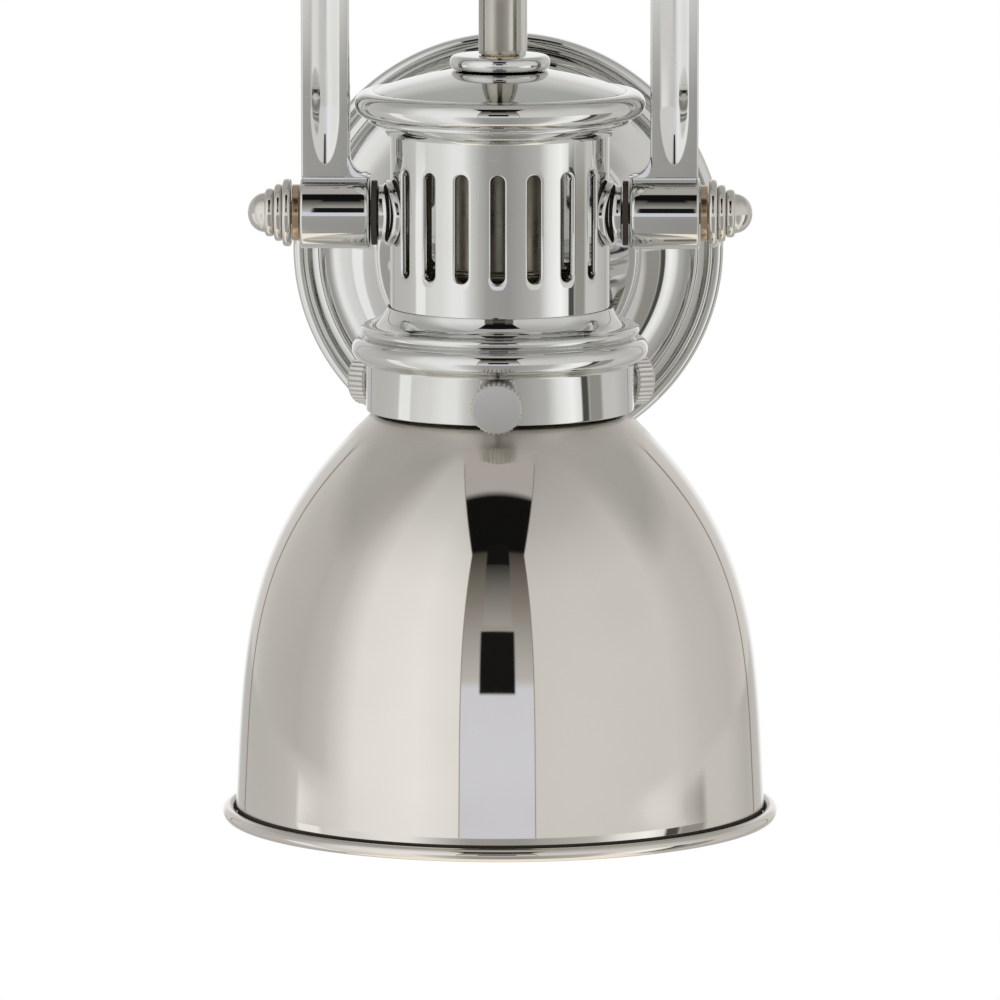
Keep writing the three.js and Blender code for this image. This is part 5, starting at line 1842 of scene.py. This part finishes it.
@dataclass
class Studio:
    """Floor, soft light and camera."""

    floor_height: float = -620.0
    floor_radius: float = 0.32
    floor_colours: tuple[tuple, tuple] = ((0.72, 0.68, 0.62, 1), (0.75, 0.71, 0.65, 1))
    floor_grain: float = 9.0
    floor_warmth: tuple[float, ...] = (1, 0.88, 0.72, 1)
    floor_glow: float = 0.7
    lamp_size: float = 0.8
    lamp_place: tuple[float, float, float] = (1.0, -0.5, 1.9)
    lamp_levels: tuple[float, float] = (1.1, 1.0)
    sensor: float = 36.0
    photo_pixels: float = 1000.0
    focal_pixels: float = 10074.0
    camera_distance: float = 2.76
    camera_pitch: float = 7.9
    camera_side: float = 1.2
    target: tuple[float, float, float] = (0.0, -115.0, -57.1)

    def build(self) -> None:
        """Builds the floor, the world, the lamps and the camera."""
        self._floor()
        self._world()
        self._lamps()
        self._camera()
        bpy.context.scene.view_settings.view_transform = "Standard"

    def _floor(self) -> None:
        """Makes a round pale floor that reads as white to the camera and keeps the shadow."""
        mesh = bpy.data.meshes.new("floor")
        work = bmesh.new()
        bmesh.ops.create_circle(work, cap_ends=True, segments=96, radius=self.floor_radius)
        work.to_mesh(mesh)
        work.free()
        floor = bpy.data.objects.new("floor", mesh)
        floor.location = (0, -HEAD_REACH * MM, self.floor_height * MM)
        bpy.context.scene.collection.objects.link(floor)
        material = bpy.data.materials.new("pale_floor")
        material.use_nodes = True
        nodes = Nodes(material.node_tree)
        grain = nodes.noise(nodes.make("TexCoord").outputs["Object"], self.floor_grain)
        matt = nodes.make("BsdfDiffuse", {"Color": nodes.mix(grain, *self.floor_colours)})
        path = nodes.make("LightPath").outputs
        seen = nodes.math("ADD", path["Is Camera Ray"], path["Is Glossy Ray"])
        seen = nodes.math("ADD", seen, path["Is Transmission Ray"], clamp=True)
        tone = nodes.mix(path["Is Camera Ray"], self.floor_warmth, (1, 1, 1, 1))
        glow = nodes.make("Emission", {"Color": tone, "Strength": nodes.product(seen, self.floor_glow)})
        both = nodes.make("AddShader", {0: matt.outputs[0], 1: glow.outputs[0]})
        target = material.node_tree.nodes["Material Output"]
        material.node_tree.links.new(both.outputs[0], target.inputs["Surface"])
        mesh.materials.append(material)

    def _world(self) -> None:
        """Makes the studio round the light: screens all round, a gap with its panels and a white backdrop."""
        world = bpy.data.worlds.new("studio")
        bpy.context.scene.world = world
        world.use_nodes = True
        nodes = Nodes(world.node_tree)
        x, y, z = nodes.make("SeparateXYZ", {0: nodes.make("TexCoord").outputs["Generated"]}).outputs
        turn = nodes.math("DEGREES", nodes.math("ARCTAN2", x, nodes.product(y, -1.0)))
        rise = nodes.math("DEGREES", nodes.math("ARCSINE", z))
        studio = self._with_gap(nodes, self._screens(nodes, y, turn, rise), (x, y, z), turn, rise)
        studio = nodes.make("VectorMath", {0: studio, "Scale": PEAK}, operation="SCALE").outputs[0]
        path = nodes.make("LightPath").outputs
        backdrop = nodes.mapped(y, BACKDROP)
        seen = nodes.math("ADD", path["Is Camera Ray"], path["Is Transmission Ray"])
        seen = nodes.math("ADD", seen, nodes.product(path["Is Glossy Ray"], backdrop), clamp=True)
        colour = nodes.mix(seen, studio, (1, 1, 1, 1))
        background = world.node_tree.nodes["Background"]
        world.node_tree.links.new(colour, background.inputs["Color"])
        background.inputs["Strength"].default_value = 1.0

    def _screens(self, nodes: Nodes, y: object, turn: object, rise: object) -> bpy.types.NodeSocket:
        """Makes the light of the screens all round.

        Args:
            nodes: the world's node tools.
            y: how far the direction points to the back.
            turn: the bearing from the front in degrees.
            rise: the height above the horizon in degrees.

        Returns:
            The light's colour, as shares of the peak.
        """
        around = nodes.math("MULTIPLY_ADD", turn, 1 / 360, 0.5)
        low, high = (
            nodes.ramp(around, [((a + 180) / 360, shares((v, v * w, v * w * w))) for a, v, w in light])
            for light in (LOW_LIGHT, HIGH_LIGHT)
        )
        both = nodes.mix(nodes.mapped(rise, HORIZON), low, high)
        for panel in SIDE_PANELS:
            both = nodes.mix(panel.mask(nodes, turn, rise), both, panel.colour(nodes, rise))
        fade = by_height(nodes, rise, [(height, (v, v, v)) for height, v in SCREEN_FADE])
        values = {0: 1.0, 6: both, 7: fade}
        faded = nodes.make("Mix", values, data_type="RGBA", blend_type="MULTIPLY").outputs[2]
        behind = nodes.product(nodes.mapped(y, CEILING_BACK), nodes.mapped(rise, CEILING_RISE))
        return nodes.mix(behind, faded, (*shares(CEILING), 1.0))

    def _with_gap(
        self, nodes: Nodes, studio: object, place: Sequence[object], turn: object, rise: object
    ) -> bpy.types.NodeSocket:
        """Lays the gap and its panels over the screens.

        Args:
            nodes: the world's node tools.
            studio: the screens' light.
            place: the direction's X, Y and Z.
            turn: the bearing from the front in degrees.
            rise: the height above the horizon in degrees.

        Returns:
            The light's colour, as shares of the peak.
        """
        x, y, z = place
        arch = nodes.math("DEGREES", nodes.math("ARCTAN2", z, nodes.product(y, -1.0)))
        over = nodes.math("MULTIPLY_ADD", z, -GAP_OVERHEAD, nodes.math("ABSOLUTE", x))
        level = nodes.mapped(rise, GAP_FLOOR)
        gap = by_height(nodes, arch, [(height, shares(colour)) for height, colour in GAP_LIGHT])
        for margin, colour in ((GAP_EDGE_WIDTH, (*GAP_EDGE, 1.0)), (0.0, gap)):
            half, reach = GAP_HALF + margin, margin * GAP_EDGE_REACH
            front = nodes.mapped(nodes.math("ABSOLUTE", turn), (half - GAP_SOFT, half + GAP_SOFT), (1.0, 0.0))
            above = nodes.mapped(over, (reach, reach + GAP_SOFT_OVERHEAD), (1.0, 0.0))
            above = nodes.product(above, nodes.mapped(z, OVERHEAD_RISE))
            above = nodes.product(above, nodes.mapped(y, OVERHEAD_BACK, (1.0, 0.0)))
            studio = nodes.mix(nodes.product(nodes.math("MAXIMUM", front, above), level), studio, colour)
        for panel in PANELS:
            studio = nodes.mix(panel.mask(nodes, turn, arch), studio, panel.colour(nodes, arch))
        return studio

    def _lamps(self) -> None:
        """Hangs two soft boxes high at the sides, as bright as the screens round them."""
        reach, near, high = self.lamp_place
        for name, side, level in (("left", -1, self.lamp_levels[0]), ("right", 1, self.lamp_levels[1])):
            data = bpy.data.lights.new("soft_box_" + name, "AREA")
            data.shape, data.size = "SQUARE", self.lamp_size
            data.energy = math.pi * self.lamp_size**2 * level * 4
            lamp = bpy.data.objects.new(data.name, data)
            lamp.location = (side * reach, near, high)
            aim = Vector((0, -HEAD_REACH * MM, 0)) - Vector(lamp.location)
            lamp.rotation_mode = "QUATERNION"
            lamp.rotation_quaternion = aim.to_track_quat("-Z", "Y")
            lamp.visible_glossy = False
            bpy.context.scene.collection.objects.link(lamp)

    def _camera(self) -> None:
        """Puts the camera where the photograph was taken from."""
        data = bpy.data.cameras.new("camera")
        data.sensor_width = self.sensor
        data.lens = self.sensor * self.focal_pixels / self.photo_pixels
        camera = bpy.data.objects.new("camera", data)
        pitch, side = math.radians(self.camera_pitch), math.radians(self.camera_side)
        back = Vector((math.sin(side) * math.cos(pitch), -math.cos(side) * math.cos(pitch), math.sin(pitch)))
        look = (-back).to_track_quat("-Z", "Y").to_matrix().to_4x4()
        place = Vector(self.target) * MM + back * self.camera_distance
        camera.matrix_world = Matrix.Translation(place) @ look
        bpy.context.scene.collection.objects.link(camera)
        bpy.context.scene.camera = camera


def main() -> None:
    """Builds the light's assemblies and the studio."""
    logging.basicConfig(level=logging.INFO, format="%(name)s %(message)s")
    pivots = [Pivot(side) for side in Side]
    thumbscrews = [Thumbscrew("front", 0), Thumbscrew("right", 120), Thumbscrew("left", 240)]
    wall_side = [WallMount(), Gooseneck(), Yoke()]
    head = [Housing(), LampHead(), *pivots, *thumbscrews, Shade(), Lampholder()]
    for assembly in (*wall_side, *head, Studio()):
        LOG.info("building %s", type(assembly).__name__)
        assembly.build()


if __name__ == "__main__":
    main()
